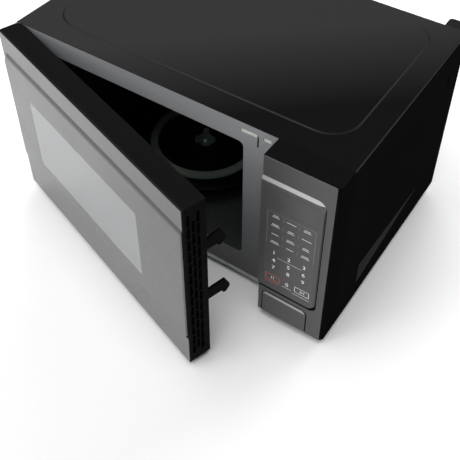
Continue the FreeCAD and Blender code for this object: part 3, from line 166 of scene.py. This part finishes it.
# Hot-dip galvanised steel: dull grey with crystals of slightly different grey.
zinc = finish("galvanised_steel", "#a3a6a8", {"Metallic": 1.0, "Roughness": 0.45})
tree = zinc.node_tree
place = add(tree, "ShaderNodeTexCoord").outputs["Object"]
spangle = add(tree, "ShaderNodeTexVoronoi", {"Scale": 1 / (ZINC_SPANGLE_MM * MM)}, {"Vector": place})
grey = add(tree, "ShaderNodeMix", {"A": linear("#8f9294"), "B": linear("#b4b7b9")},
           {"Factor": spangle.outputs["Color"]}, data_type="RGBA")
dull = add(tree, "ShaderNodeMapRange", {"To Min": 0.36, "To Max": 0.55},
           {"Value": spangle.outputs["Color"]})
tree.links.new(grey.outputs["Result"], tree.nodes["Principled BSDF"].inputs["Base Color"])
tree.links.new(dull.outputs["Result"], tree.nodes["Principled BSDF"].inputs["Roughness"])
paint(zinc, "base_plate", "waveguide", "magnetron_yoke", "magnetron_filter", "capacitor_clamp",
      "upper_hinge", "lower_hinge")

powder_rear = finish("powder_coated_steel_rear", "#1b1b1c", {"Specular IOR Level": 0.3})
surface(powder_rear, 1.6, 0.08, (0.45, 0.6), ("#171718", "#1f1f20"), 80.0)
paint(powder_rear, "rear_panel")

# ---------------------------------------------------------------- feet, spacers and gland
# Four moulded feet carry the oven, and two hollow spacers keep its rear off the wall.
# The mains lead leaves through a moulded gland.

# Thermoplastic rubber: flat black with a dry, dusty skin.
rubber = finish("moulded_rubber_black", "#1a1a1a", {"Specular IOR Level": 0.3, "Roughness": 0.8})
surface(rubber, 1.2, 0.10, (0.72, 0.9), ("#161616", "#242424"), 14.0)
paint(rubber, "feet")

# Spark-eroded ABS: black, with a leather-fine texture that breaks up the highlights.
abs_black = finish("textured_abs_black", "#0c0c0d", {"Specular IOR Level": 0.01})
surface(abs_black, 1.0, 0.09, (0.42, 0.55), ("#0a0a0b", "#101011"), 40.0)
paint(abs_black, "rear_spacers", "cord_gland", "door_frame", "choke_cover", "latch_hooks",
      "release_lever", "primary_switch", "monitor_switch", "secondary_switch", "fan_shroud",
      "thermal_cutouts", "diode")

# ---------------------------------------------------------------- screws
# Pan-head self-tapping screws, cold-formed and bright zinc plated.

# Passivated zinc plate on steel: bright, faintly blue, fine turning marks.
plated = finish("zinc_plated_steel", "#b9bcc0", {"Metallic": 1.0, "Roughness": 0.28})
surface(plated, 0.5, 0.02, (0.2, 0.34), ("#aeb2b7", "#c6c8ca"), 6.0)
paint(plated, "rear_screws", "front_screws", "lever_pin")

# ---------------------------------------------------------------- front plate and cavity
# The front plate closes the box round the oven's mouth. The cavity behind it is folded
# and spot-welded steel. Both are coated in grey enamel paint and stoved.

# Stoved acrylic enamel: low sheen, with painted shade: mid grey at the lintel and darker towards the
# sill.
plate_grey = finish("stoved_enamel_grey", "#7a7c7e", {"Specular IOR Level": 0.3})
surface(plate_grey, 1.8, 0.04, (0.34, 0.46))
plate_low, plate_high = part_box("front_plate")
tree = plate_grey.node_tree
place = add(tree, "ShaderNodeTexCoord").outputs["Object"]
level = add(tree, "ShaderNodeSeparateXYZ", links={"Vector": place})
rise = add(tree, "ShaderNodeMapRange", {"From Min": plate_low.z, "From Max": plate_high.z},
           {"Value": level.outputs["Z"]})
# Painted shade: the plate darkens from its top edge down to its bottom edge.
plate_painted_shade = add(tree, "ShaderNodeMix", {"A": linear("#454648"), "B": linear("#9b9d9f")},
            {"Factor": rise.outputs["Result"]}, data_type="RGBA")
tree.links.new(plate_painted_shade.outputs["Result"], tree.nodes["Principled BSDF"].inputs["Base Color"])
paint(plate_grey, "front_plate", "choke_frame")

# Cavity enamel: charcoal with fine paler specks that hide splashes.
SPECK_MM = 3.0
SPECK_RADIUS = 0.16         # as a share of the spacing
cavity_grey = finish("speckled_cavity_enamel", "#2d2e2f", {"Specular IOR Level": 0.35})
surface(cavity_grey, 2.0, 0.05, (0.3, 0.42))
tree = cavity_grey.node_tree
place = add(tree, "ShaderNodeTexCoord").outputs["Object"]
dots = add(tree, "ShaderNodeTexVoronoi", {"Scale": 1 / (SPECK_MM * MM)}, {"Vector": place})
inside = add(tree, "ShaderNodeMath", {1: SPECK_RADIUS}, {0: dots.outputs["Distance"]},
             operation="LESS_THAN")
specks = add(tree, "ShaderNodeMix", {"A": linear("#2b2c2d"), "B": linear("#505254")},
             {"Factor": inside.outputs["Value"]}, data_type="RGBA")
tree.links.new(specks.outputs["Result"], tree.nodes["Principled BSDF"].inputs["Base Color"])
paint(cavity_grey, "cavity")

# Mica sheet over the wave outlet: pressed flakes, warm grey, slightly pearly.
mica = finish("pressed_mica_sheet", "#a2977d", {"Roughness": 0.5, "Sheen Weight": 0.2})
surface(mica, 5.0, 0.06, (0.4, 0.62), ("#8f856c", "#b5ab92"), 7.0)
paint(mica, "waveguide_cover")

# ---------------------------------------------------------------- turntable
# A pressed soda-lime glass tray on a moulded roller ring, turned by a nylon coupler
# on a small synchronous motor under the cavity floor.

# Pressed soda-lime glass: clear with a faint green edge and a slightly wavy face.
glass = finish("pressed_soda_lime_glass", "#b9c2bf",
               {"Transmission Weight": 1.0, "IOR": 1.45, "Roughness": 0.03})
surface(glass, 9.0, 0.12, (0.02, 0.07))
paint(glass, "glass_turntable")

# Natural nylon: warm white, waxy, slightly translucent.
nylon = finish("moulded_nylon_white", "#efeee8",
               {"Specular IOR Level": 0.45, "Subsurface Weight": 0.08, "Subsurface Scale": 0.002})
surface(nylon, 1.4, 0.05, (0.36, 0.5), ("#ebe9e3", "#f4f3ee"), 20.0)
paint(nylon, "roller_ring", "roller_1", "roller_2", "roller_3", "drive_coupler", "fan_impeller",
      "latch_bracket", "primary_plunger", "monitor_plunger", "secondary_plunger", "cavity_lamp")

# ---------------------------------------------------------------- works bay
# Magnetron, transformer, capacitor, fan and filter behind the control panel, where the
# case hides them. Stamped steel, wound copper, rolled aluminium and circuit boards.

# Cold-rolled steel laminations, varnished: brownish grey with fine lines where the sheets stack.
LAMINATION_MM = 1.6
WAVES_PER_UNIT = 20         # what the wave pattern draws at a scale of one
core_steel = finish("varnished_lamination_steel", "#5f5c58", {"Metallic": 0.8, "Roughness": 0.5})
tree = core_steel.node_tree
place = add(tree, "ShaderNodeTexCoord").outputs["Object"]
sheets = add(tree, "ShaderNodeTexWave",
             {"Scale": 1 / (LAMINATION_MM * MM) / WAVES_PER_UNIT, "Distortion": 0.4},
             {"Vector": place}, bands_direction="Z")
lines = add(tree, "ShaderNodeMix", {"A": linear("#4d4a46"), "B": linear("#76736e")},
            {"Factor": sheets.outputs["Fac"]}, data_type="RGBA")
step = add(tree, "ShaderNodeBump", {"Strength": 0.4, "Distance": 0.1 * MM},
           {"Height": sheets.outputs["Fac"]})
tree.links.new(lines.outputs["Result"], tree.nodes["Principled BSDF"].inputs["Base Color"])
tree.links.new(step.outputs["Normal"], tree.nodes["Principled BSDF"].inputs["Normal"])
paint(core_steel, "transformer_core")

# Plain cold-rolled steel: cool grey, brushed by the rolls.
bare_steel = finish("cold_rolled_steel", "#8d9093", {"Metallic": 1.0, "Roughness": 0.35})
surface(bare_steel, 1.5, 0.02, (0.3, 0.45), ("#84878a", "#999c9f"), 18.0)
paint(bare_steel, "turntable_motor", "fan_motor", "lever_spring", "latch_spring")

# Enamelled copper wire: orange brown under clear lacquer, ridged by the turns.
WIRE_MM = 1.4
copper = finish("enamelled_copper_wire", "#a8562c",
                {"Metallic": 0.85, "Roughness": 0.3, "Coat Weight": 0.4})
tree = copper.node_tree
place = add(tree, "ShaderNodeTexCoord").outputs["Object"]
turns = add(tree, "ShaderNodeTexWave",
            {"Scale": 1 / (WIRE_MM * MM) / WAVES_PER_UNIT, "Distortion": 0.3},
            {"Vector": place}, bands_direction="Z")
ridge = add(tree, "ShaderNodeBump", {"Strength": 0.7, "Distance": 0.3 * MM},
            {"Height": turns.outputs["Fac"]})
tone = add(tree, "ShaderNodeMix", {"A": linear("#7d3a1c"), "B": linear("#c06a38")},
           {"Factor": turns.outputs["Fac"]}, data_type="RGBA")
tree.links.new(ridge.outputs["Normal"], tree.nodes["Principled BSDF"].inputs["Normal"])
tree.links.new(tone.outputs["Result"], tree.nodes["Principled BSDF"].inputs["Base Color"])
paint(copper, "transformer_windings")

# Rolled aluminium: pale grey, satin, faint rolling lines.
aluminium = finish("rolled_aluminium", "#c3c6c8", {"Metallic": 1.0, "Roughness": 0.32})
surface(aluminium, 2.5, 0.02, (0.26, 0.42), ("#b8bbbd", "#d0d2d3"), 25.0)
paint(aluminium, "magnetron_tube", "magnetron_fins", "capacitor")

# Paper-phenolic circuit board under green solder mask.
board = finish("solder_masked_board", "#17452c", {"Coat Weight": 0.3, "Roughness": 0.4})
surface(board, 0.8, 0.03, (0.3, 0.5), ("#123a24", "#1f5637"), 6.0)
paint(board, "filter_board", "control_board")

# ---------------------------------------------------------------- control panel
# A moulded ABS fascia with a raised band, lacquered dark grey. A printed film keypad and
# a smoked display window sit flush in the band, over the door's push button.

SPRAY_EDGE = 2.9 * MM       # the spray stops this far behind the foremost face
FLAT_TO_EDGE = 0.45 * MM    # and this far behind the plain part of the face
SPRAY_DRIFT = 60 * MM       # the size of the spray's uneven patches


def lacquer_front(name, lacquer, under, edge_y, turn=0.0):
    """Lacquer sprayed on a moulding's front face only. Edges keep the black plastic, and so do the
    grooves, whose black also stands for painted shade in the gap.

    edge_y is where the spray stops, turn swings the moulding back to face straight forwards, and
    slopes holds the heights between which a sloped edge takes a painted highlight or painted shade,
    with its tint.
    """
    made = finish(name, lacquer["tints"][0], {"Specular IOR Level": lacquer["specular"]})
    surface(made, 1.5, 0.008, lacquer["rough"])
    tree = made.node_tree
    shader = tree.nodes["Principled BSDF"]
    place = add(tree, "ShaderNodeTexCoord").outputs["Object"]
    facing = add(tree, "ShaderNodeMapping", {"Rotation": (0.0, 0.0, turn)}, {"Vector": place})
    depth = add(tree, "ShaderNodeSeparateXYZ", links={"Vector": facing.outputs["Vector"]})
    coated = add(tree, "ShaderNodeMath", {1: edge_y}, {0: depth.outputs["Y"]},
                 operation="LESS_THAN")
    drift = add(tree, "ShaderNodeTexNoise", {"Scale": 1 / SPRAY_DRIFT, "Detail": 4.0},
                {"Vector": place})
    first_tint, second_tint = [linear(tint) for tint in lacquer["tints"]]
    coat = add(tree, "ShaderNodeMix", {"A": first_tint, "B": second_tint},
               {"Factor": drift.outputs["Fac"]}, data_type="RGBA")
    proud = add(tree, "ShaderNodeMath", {1: edge_y - FLAT_TO_EDGE}, {0: depth.outputs["Y"]},
                operation="LESS_THAN")
    # Painted highlight or painted shade on each sloped edge, in its own tint.
    for low, high, tint in lacquer["slopes"]:
        belt = add(tree, "ShaderNodeMath", {1: (low + high) / 2, 2: (high - low) / 2},
                   {0: depth.outputs["Z"]}, operation="COMPARE")
        slope = add(tree, "ShaderNodeMath", links={0: belt.outputs["Value"], 1: proud.outputs["Value"]},
                    operation="MULTIPLY")
        coat = add(tree, "ShaderNodeMix", {"B": linear(tint)},
                   {"Factor": slope.outputs["Value"], "A": coat.outputs["Result"]}, data_type="RGBA")
    # The black under colour: real plastic on the edges, painted shade in the grooves.
    colour = add(tree, "ShaderNodeMix", {"A": linear(under)},
                 {"Factor": coated.outputs["Value"], "B": coat.outputs["Result"]}, data_type="RGBA")
    metal = add(tree, "ShaderNodeMath", {1: lacquer["metal"]}, {0: coated.outputs["Value"]},
                operation="MULTIPLY")
    tree.links.new(colour.outputs["Result"], shader.inputs["Base Color"])
    tree.links.new(metal.outputs["Value"], shader.inputs["Metallic"])
    return made


# Satin metallic lacquer on black ABS: graphite grey that mirrors its surroundings softly.
bezel_low, bezel_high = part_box("control_bezel")
button_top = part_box("open_button")[1].z
BAND_TOP = 30.0 * MM        # the band's upper edge below the top of the panel
BAND_SLOPE = 5.4 * MM
BUTTON_SLOPE = 3.2 * MM
band_slope = (bezel_high.z - BAND_TOP - BAND_SLOPE, bezel_high.z - BAND_TOP)
button_slope = (button_top - BUTTON_SLOPE, button_top)
# Painted highlights: the top slopes of the band and of the button are painted pale.
panel_lacquer = {"tints": ("#5f5f60", "#646465"), "specular": 0.0, "rough": (0.36, 0.44),
                 "metal": 0.5, "slopes": [(*band_slope, "#c4c4c5"), (*button_slope, "#b4b4b5")]}
lacquer_grey = lacquer_front("satin_lacquered_abs_grey", panel_lacquer, "#101011",
                             bezel_low.y + SPRAY_EDGE)
paint(lacquer_grey, "control_bezel", "open_button")

# Hard-coated polyester film, screen printed on its back: even dark grey with a silk gloss.
film = finish("printed_polyester_film", "#606061", {"Metallic": 0.5, "Specular IOR Level": 0.1})
surface(film, 1.2, 0.015, (0.34, 0.42), ("#5f5f60", "#646465"), 30.0)
paint(film, "keypad")

# Smoked acrylic: the film's own tone, so that the display disappears while it is off.
smoked = finish("smoked_acrylic", "#606061", {"Metallic": 0.5, "Specular IOR Level": 0.1})
surface(smoked, 1.4, 0.01, (0.32, 0.4), ("#5e5e5f", "#636364"), 30.0)
paint(smoked, "display_window")

# White and red screen inks: flat, opaque, a little uneven at the edges of the print.
white_ink = finish("screen_ink_white", "#f6f6f3", {"Roughness": 0.6})
surface(white_ink, 0.6, 0.01, (0.5, 0.65), ("#f1f1ee", "#fafaf8"), 4.0)
faint_ink = finish("screen_ink_grey", "#8e8e8f", {"Roughness": 0.6})
surface(faint_ink, 0.6, 0.01, (0.5, 0.65), ("#88888a", "#959596"), 4.0)
red_ink = finish("screen_ink_red", "#e0665a", {"Roughness": 0.6})
surface(red_ink, 0.6, 0.01, (0.5, 0.65), ("#d85c50", "#e87065"), 4.0)

INK_LIFT = 0.04 * MM
BAR_CORNER = 0.3            # the cut corner as a share of a bar's narrow side
DIGIT_TO_TYPE = 1.38        # type size over the height of its numerals
DIGIT_WEIGHT = 0.12 * MM    # how much each stroke is thickened
keypad_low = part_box("keypad")[0]
INK_Y = keypad_low.y - INK_LIFT


def settle(piece, made, name, body, smooth=None):
    """Brings a finished piece to the origin with its place in its mesh, and puts it on its body."""
    bpy.ops.object.select_all(action="DESELECT")
    piece.select_set(True)
    bpy.context.view_layer.objects.active = piece
    bpy.ops.object.transform_apply(location=True, rotation=True, scale=True)
    if smooth is not None:
        bpy.ops.object.shade_smooth_by_angle(angle=math.radians(smooth))
    piece.name = name
    piece.data.name = name
    piece.data.materials.clear()
    piece.data.materials.append(made)
    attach(piece, body)


def gather(parts):
    """Joins several meshes into the first one."""
    bpy.ops.object.select_all(action="DESELECT")
    for part in parts:
        part.select_set(True)
    bpy.context.view_layer.objects.active = parts[0]
    if len(parts) > 1:
        bpy.ops.object.join()
    return parts[0]


def ink_bar(x, z, width, height):
    """One printed bar with cut corners, facing forwards. Millimetres from the keypad's lower left."""
    bpy.ops.object.select_all(action="DESELECT")
    place = (keypad_low.x + x * MM, INK_Y, keypad_low.z + z * MM)
    bpy.ops.mesh.primitive_plane_add(size=MM, location=place, rotation=(math.pi / 2, 0, 0))
    bar = bpy.context.object
    bar.scale = (width, height, 1)
    bpy.ops.object.transform_apply(location=False, rotation=False, scale=True)
    bpy.ops.object.mode_set(mode="EDIT")
    bpy.ops.mesh.select_all(action="SELECT")
    bpy.ops.mesh.bevel(offset=BAR_CORNER * min(width, height) * MM, segments=2, affect="VERTICES")
    bpy.ops.object.mode_set(mode="OBJECT")
    return bar


def ink_box(x, z, width, height, line, corner=2.0):
    """One printed outline with rounded corners."""
    bpy.ops.object.select_all(action="DESELECT")
    place = (keypad_low.x + x * MM, INK_Y, keypad_low.z + z * MM)
    bpy.ops.mesh.primitive_plane_add(size=MM, location=place, rotation=(math.pi / 2, 0, 0))
    made = bpy.context.object
    made.scale = (width, height, 1)
    bpy.ops.object.transform_apply(location=False, rotation=False, scale=True)
    bpy.ops.object.mode_set(mode="EDIT")
    bpy.ops.mesh.select_all(action="SELECT")
    bpy.ops.mesh.bevel(offset=corner * MM, segments=5, affect="VERTICES")
    bpy.ops.mesh.select_mode(type="FACE")
    bpy.ops.mesh.select_all(action="SELECT")
    bpy.ops.mesh.inset(thickness=line * MM)
    bpy.ops.mesh.delete(type="FACE")
    bpy.ops.object.mode_set(mode="OBJECT")
    return made


def ink_digit(text, x, z, height):
    """One printed numeral."""
    bpy.ops.object.select_all(action="DESELECT")
    bpy.ops.object.text_add(location=(keypad_low.x + x * MM, INK_Y, keypad_low.z + z * MM),
                            rotation=(math.pi / 2, 0, 0))
    made = bpy.context.object
    made.data.body = text
    made.data.size = height * DIGIT_TO_TYPE * MM
    made.data.align_x = "CENTER"
    made.data.align_y = "CENTER"
    made.data.resolution_u = 4
    made.data.offset = DIGIT_WEIGHT
    bpy.ops.object.convert(target="MESH")
    return bpy.context.object


# One hairline frame round the twelve function fields, with short ticks between the columns.
FIELD_X = (13.5, 34.5, 55.5)
FIELD_Z = (79.6, 93.8, 109.8, 125.0)
FRAME_LEFT, FRAME_RIGHT, FRAME_LOW, FRAME_TOP = 2.2, 66.8, 73.8, 131.0
HAIRLINE = 0.4
TICK_X = (24.0, 45.0)
TICK = 7.0
frame_mid_x, frame_mid_z = (FRAME_LEFT + FRAME_RIGHT) / 2, (FRAME_LOW + FRAME_TOP) / 2
fields = [ink_bar(frame_mid_x, FRAME_TOP, FRAME_RIGHT - FRAME_LEFT, HAIRLINE),
          ink_bar(FRAME_LEFT, frame_mid_z, HAIRLINE, FRAME_TOP - FRAME_LOW),
          ink_bar(FRAME_RIGHT, frame_mid_z, HAIRLINE, FRAME_TOP - FRAME_LOW)]
fields += [ink_bar(x, z, HAIRLINE, TICK) for x in TICK_X for z in FIELD_Z]
settle(gather(fields), faint_ink, "keypad_field_lines", "cabinet")

# Thin blank bars stand where the words are: two lines in most fields, one in the others.
LABEL_LINE = 0.9
LABEL_WIDTHS = (12.5, 10.0, 11.5, 9.5)
LABEL_LIFT = 1.3            # each of two lines lies this far above or below the middle
UPPER_SHARE = 0.8           # the upper line's length over the lower one's
labels = []
for column, x in enumerate(FIELD_X):
    for row, z in enumerate(FIELD_Z):
        widest = LABEL_WIDTHS[(row + column) % len(LABEL_WIDTHS)]
        if (row + column) % 3 == 1:
            labels.append(ink_bar(x, z, widest, LABEL_LINE))
        else:
            labels.append(ink_bar(x, z + LABEL_LIFT, widest * UPPER_SHARE, LABEL_LINE))
            labels.append(ink_bar(x, z - LABEL_LIFT, widest, LABEL_LINE))
labels.append(ink_bar(35.4, 54.0, 34.0, 0.5))
settle(gather(labels), white_ink, "keypad_labels", "cabinet")

# Numerals in three rows, with nought below over a short rule.
NUMERAL_Z = (60.4, 46.2, 32.6)
NUMERAL = 6.6
RULE = 0.6
numerals = [ink_digit(str(len(FIELD_X) * row + column + 1), x, z, NUMERAL)
            for row, z in enumerate(NUMERAL_Z) for column, x in enumerate(FIELD_X)]
numerals += [ink_digit("0", 34.2, 12.0, NUMERAL), ink_bar(34.0, 5.6, 12.4, RULE)]
settle(gather(numerals), white_ink, "keypad_numerals", "cabinet")

# The stop key: a red outline and rule, with two white bars inside.
KEY_Z = 12.1
KEY_WIDTH, KEY_HEIGHT = 20.8, 10.6
KEY_LINE = 0.8
KEY_CORNER = 1.2
SYMBOL = 4.6
STOP_BARS_X = (11.8, 14.6)
stop_frame = [ink_box(13.3, KEY_Z, KEY_WIDTH, KEY_HEIGHT, KEY_LINE, KEY_CORNER),
              ink_bar(12.6, 2.7, 21.0, RULE)]
settle(gather(stop_frame), red_ink, "keypad_stop_frame", "cabinet")
stop_bars = [ink_bar(x, KEY_Z, LABEL_LINE, SYMBOL) for x in STOP_BARS_X]
settle(gather(stop_bars), white_ink, "keypad_stop_bars", "cabinet")

# The start key: a white outline and rule, with a triangle and a bar inside.
TRIANGLE_X = 54.6
TRIANGLE_RADIUS = 2.7
TRIANGLE_LINE = 0.7
start_marks = [ink_box(55.4, KEY_Z, KEY_WIDTH, KEY_HEIGHT, KEY_LINE, KEY_CORNER),
               ink_bar(54.6, 2.0, 24.0, RULE), ink_bar(58.6, KEY_Z, 0.8, SYMBOL)]
bpy.ops.object.select_all(action="DESELECT")
triangle_place = (keypad_low.x + TRIANGLE_X * MM, INK_Y, keypad_low.z + KEY_Z * MM)
bpy.ops.mesh.primitive_circle_add(vertices=3, radius=TRIANGLE_RADIUS * MM, fill_type="NGON",
                                  location=triangle_place, rotation=(math.pi / 2, math.pi / 2, 0))
triangle = bpy.context.object
bpy.ops.object.mode_set(mode="EDIT")
bpy.ops.mesh.select_all(action="SELECT")
bpy.ops.mesh.inset(thickness=TRIANGLE_LINE * MM)
bpy.ops.mesh.delete(type="FACE")
bpy.ops.object.mode_set(mode="OBJECT")
start_marks.append(triangle)
settle(gather(start_marks), white_ink, "keypad_start_marks", "cabinet")

# ---------------------------------------------------------------- door
# A lacquered front cover with a raised band and a tinted window, on a black frame with a
# pocketed free edge. Behind are the formed steel inner door, its perforated screen and a
# clear film that keeps splashes out.

# Satin metallic lacquer on black ABS: dark silver that mirrors its surroundings softly.
hinge = next(joint for joint in frame["joints"] if joint["name"] == "door_swing")
DOOR_TURN = math.radians(-hinge["range_deg"][0])
pivot = Vector(hinge["pos_m"])
# Where the spray stops, once the door is turned about the origin to face straight forwards.
turned_pivot_y = pivot.x * math.sin(DOOR_TURN) + pivot.y * math.cos(DOOR_TURN)
door_spray_y = turned_pivot_y + (bezel_low.y + SPRAY_EDGE - pivot.y)
# Painted shade: the top slope of the door's band is painted darker than its face.
door_lacquer = {"tints": ("#6d6d6e", "#747475"), "specular": 0.0, "rough": (0.22, 0.3),
                "metal": 0.95, "slopes": [(*band_slope, "#575758")]}
lacquer_silver = lacquer_front("satin_metallic_lacquer_silver", door_lacquer, "#1e1e1f",
                               door_spray_y, DOOR_TURN)
paint(lacquer_silver, "door_front")

# Half-silvered glass: pale grey mirror tone, the screen only just shows through.
window = finish("half_silvered_window_glass", "#a6a8a9", {"Metallic": 0.6, "Alpha": 0.82})
surface(window, 12.0, 0.02, (0.16, 0.24), ("#a2a4a5", "#acaeaf"), 70.0)
paint(window, "door_window")

# Clear polyester film: thin, glossy, faint ripples.
clear_film = finish("clear_polyester_film", "#dfe3e4",
                    {"Transmission Weight": 0.9, "IOR": 1.45, "Alpha": 0.5})
surface(clear_film, 18.0, 0.15, (0.04, 0.1))
paint(clear_film, "inner_film")

# The screen is punched steel sheet: a plain border round staggered six-sided holes.
HOLE_PITCH = 3.2 * MM
HOLE_WEB = 0.8 * MM
SHEET = 0.5 * MM
BORDER = 9.0 * MM
screen_low, screen_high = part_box("door_screen")
along = Vector((math.cos(DOOR_TURN), -math.sin(DOOR_TURN), 0))
inward = Vector((math.sin(DOOR_TURN), math.cos(DOOR_TURN), 0))
screen_length = (screen_high.x - screen_low.x - SHEET * math.sin(DOOR_TURN)) / math.cos(DOOR_TURN)
screen_height = screen_high.z - screen_low.z
screen_front_y = screen_high.y - SHEET * math.cos(DOOR_TURN)
screen_corner = Vector((screen_low.x, screen_front_y, screen_low.z)) + inward * SHEET / 2
screen_stand = (math.pi / 2, 0, -DOOR_TURN)
cell = HOLE_PITCH / math.sqrt(3)
columns = round((screen_length - 2 * BORDER) / HOLE_PITCH)
row_pairs = round((screen_height - 2 * BORDER) / (3 * cell))
first_x = (screen_length - (columns - 0.5) * HOLE_PITCH) / 2
first_z = (screen_height - (2 * row_pairs - 1) * 1.5 * cell) / 2

bpy.ops.object.select_all(action="DESELECT")
bpy.ops.mesh.primitive_circle_add(vertices=6, radius=cell, fill_type="NGON", rotation=screen_stand,
                                  location=screen_corner + along * first_x + Vector((0, 0, first_z)))
mesh_sheet = bpy.context.object
bpy.ops.object.mode_set(mode="EDIT")
bpy.ops.mesh.select_all(action="SELECT")
bpy.ops.mesh.inset(thickness=HOLE_WEB / 2)
bpy.ops.mesh.delete(type="FACE")
bpy.ops.object.mode_set(mode="OBJECT")
for name, count, step in (("row", columns, (HOLE_PITCH, 0, 0)),
                          ("stagger", 2, (HOLE_PITCH / 2, 1.5 * cell, 0)),
                          ("rows", row_pairs, (0, 3 * cell, 0))):
    repeat = mesh_sheet.modifiers.new(name, "ARRAY")
    repeat.count = count
    repeat.use_relative_offset = False
    repeat.use_constant_offset = True
    repeat.constant_offset_displace = step
    repeat.use_merge_vertices = True
    repeat.merge_threshold = 0.02 * MM
    bpy.ops.object.modifier_apply(modifier=name)

bpy.ops.object.select_all(action="DESELECT")
screen_middle = screen_corner + along * screen_length / 2 + Vector((0, 0, screen_height / 2))
bpy.ops.mesh.primitive_plane_add(size=1.0, rotation=screen_stand, location=screen_middle)
rim = bpy.context.object
rim.scale = (screen_length, screen_height, 1)
bpy.ops.object.transform_apply(location=False, rotation=False, scale=True)
bpy.ops.object.mode_set(mode="EDIT")
bpy.ops.mesh.select_all(action="SELECT")
bpy.ops.mesh.inset(thickness=BORDER + cell)
bpy.ops.mesh.delete(type="FACE")
bpy.ops.object.mode_set(mode="OBJECT")
# The border is a little thicker than the punched field, so their faces never share a plane.
for sheet, thickness in ((mesh_sheet, 0.90 * SHEET), (rim, 0.98 * SHEET)):
    bpy.ops.object.select_all(action="DESELECT")
    sheet.select_set(True)
    bpy.context.view_layer.objects.active = sheet
    thicken = sheet.modifiers.new("thickness", "SOLIDIFY")
    thicken.thickness = thickness
    thicken.offset = 0.0
    bpy.ops.object.modifier_apply(modifier="thickness")

# Enamelled steel mesh: charcoal, low sheen, its tone drifting slightly between two greys.
mesh_enamel = finish("enamelled_punched_steel", "#3a3b3d", {"Specular IOR Level": 0.4})
surface(mesh_enamel, 1.0, 0.03, (0.4, 0.52), ("#363739", "#424345"), 12.0)
settle(gather([mesh_sheet, rim]), mesh_enamel, "door_screen_mesh", "door")
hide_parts("door_screen")

# ---------------------------------------------------------------- floor, light and camera
# A plain pale floor, three soft boxes and an even sky.
bpy.ops.object.select_all(action="DESELECT")
bpy.ops.mesh.primitive_plane_add(size=14.0, location=(0, 0, -0.0002))
floor = bpy.context.object
floor.name = "floor"
# Matt white paper: even, no sheen.
paper = finish("matt_white_paper", "#f4f4f4", {"Roughness": 0.9, "Specular IOR Level": 0.1})
surface(paper, 4.0, 0.05, (0.85, 0.95), ("#f2f2f2", "#f7f7f7"), 400.0)
floor.data.materials.append(paper)

world = bpy.data.worlds.new("studio")
world.use_nodes = True
world.node_tree.nodes["Background"].inputs["Color"].default_value = (1.0, 1.0, 1.0, 1.0)
world.node_tree.nodes["Background"].inputs["Strength"].default_value = 0.14
bpy.context.scene.world = world


def soft_box(name, place, aim, width, height, power):
    """One soft light, wide and high as given, aimed at a point and out of the camera's sight."""
    light = bpy.data.lights.new(name, "AREA")
    light.shape = "RECTANGLE"
    light.size = width
    light.size_y = height
    light.energy = power
    lamp = bpy.data.objects.new(name, light)
    bpy.context.collection.objects.link(lamp)
    lamp.location = place
    lamp.rotation_mode = "QUATERNION"
    lamp.rotation_quaternion = (Vector(aim) - Vector(place)).to_track_quat("-Z", "Y")
    lamp.visible_camera = False


soft_box("overhead_light", (-0.2, -1.0, 3.0), (-0.1, -0.4, 0), 3.0, 3.0, 100)
soft_box("key_light", (-1.6, -2.4, 1.6), (0, 0, 0.1), 1.6, 1.6, 25)
soft_box("back_wall_light", (-1.0, 3.2, 1.25), (-1.0, 0, 1.25), 5.5, 2.3, 250)

camera_data = bpy.data.cameras.new("camera")
camera_data.sensor_width = 36.0
camera_data.lens = 62.38
camera_data.shift_y = -0.2
camera = bpy.data.objects.new("camera", camera_data)
bpy.context.collection.objects.link(camera)
AZIMUTH = math.radians(34.26)
ELEVATION = math.radians(42.47)
back = Vector((math.sin(AZIMUTH) * math.cos(ELEVATION), -math.cos(AZIMUTH) * math.cos(ELEVATION),
               math.sin(ELEVATION)))
camera.location = (0.4834, -0.5761, 0.8934)
camera.rotation_mode = "QUATERNION"
camera.rotation_quaternion = (-back).to_track_quat("-Z", "Y")
bpy.context.scene.camera = camera
bpy.context.scene.view_settings.view_transform = "Standard"
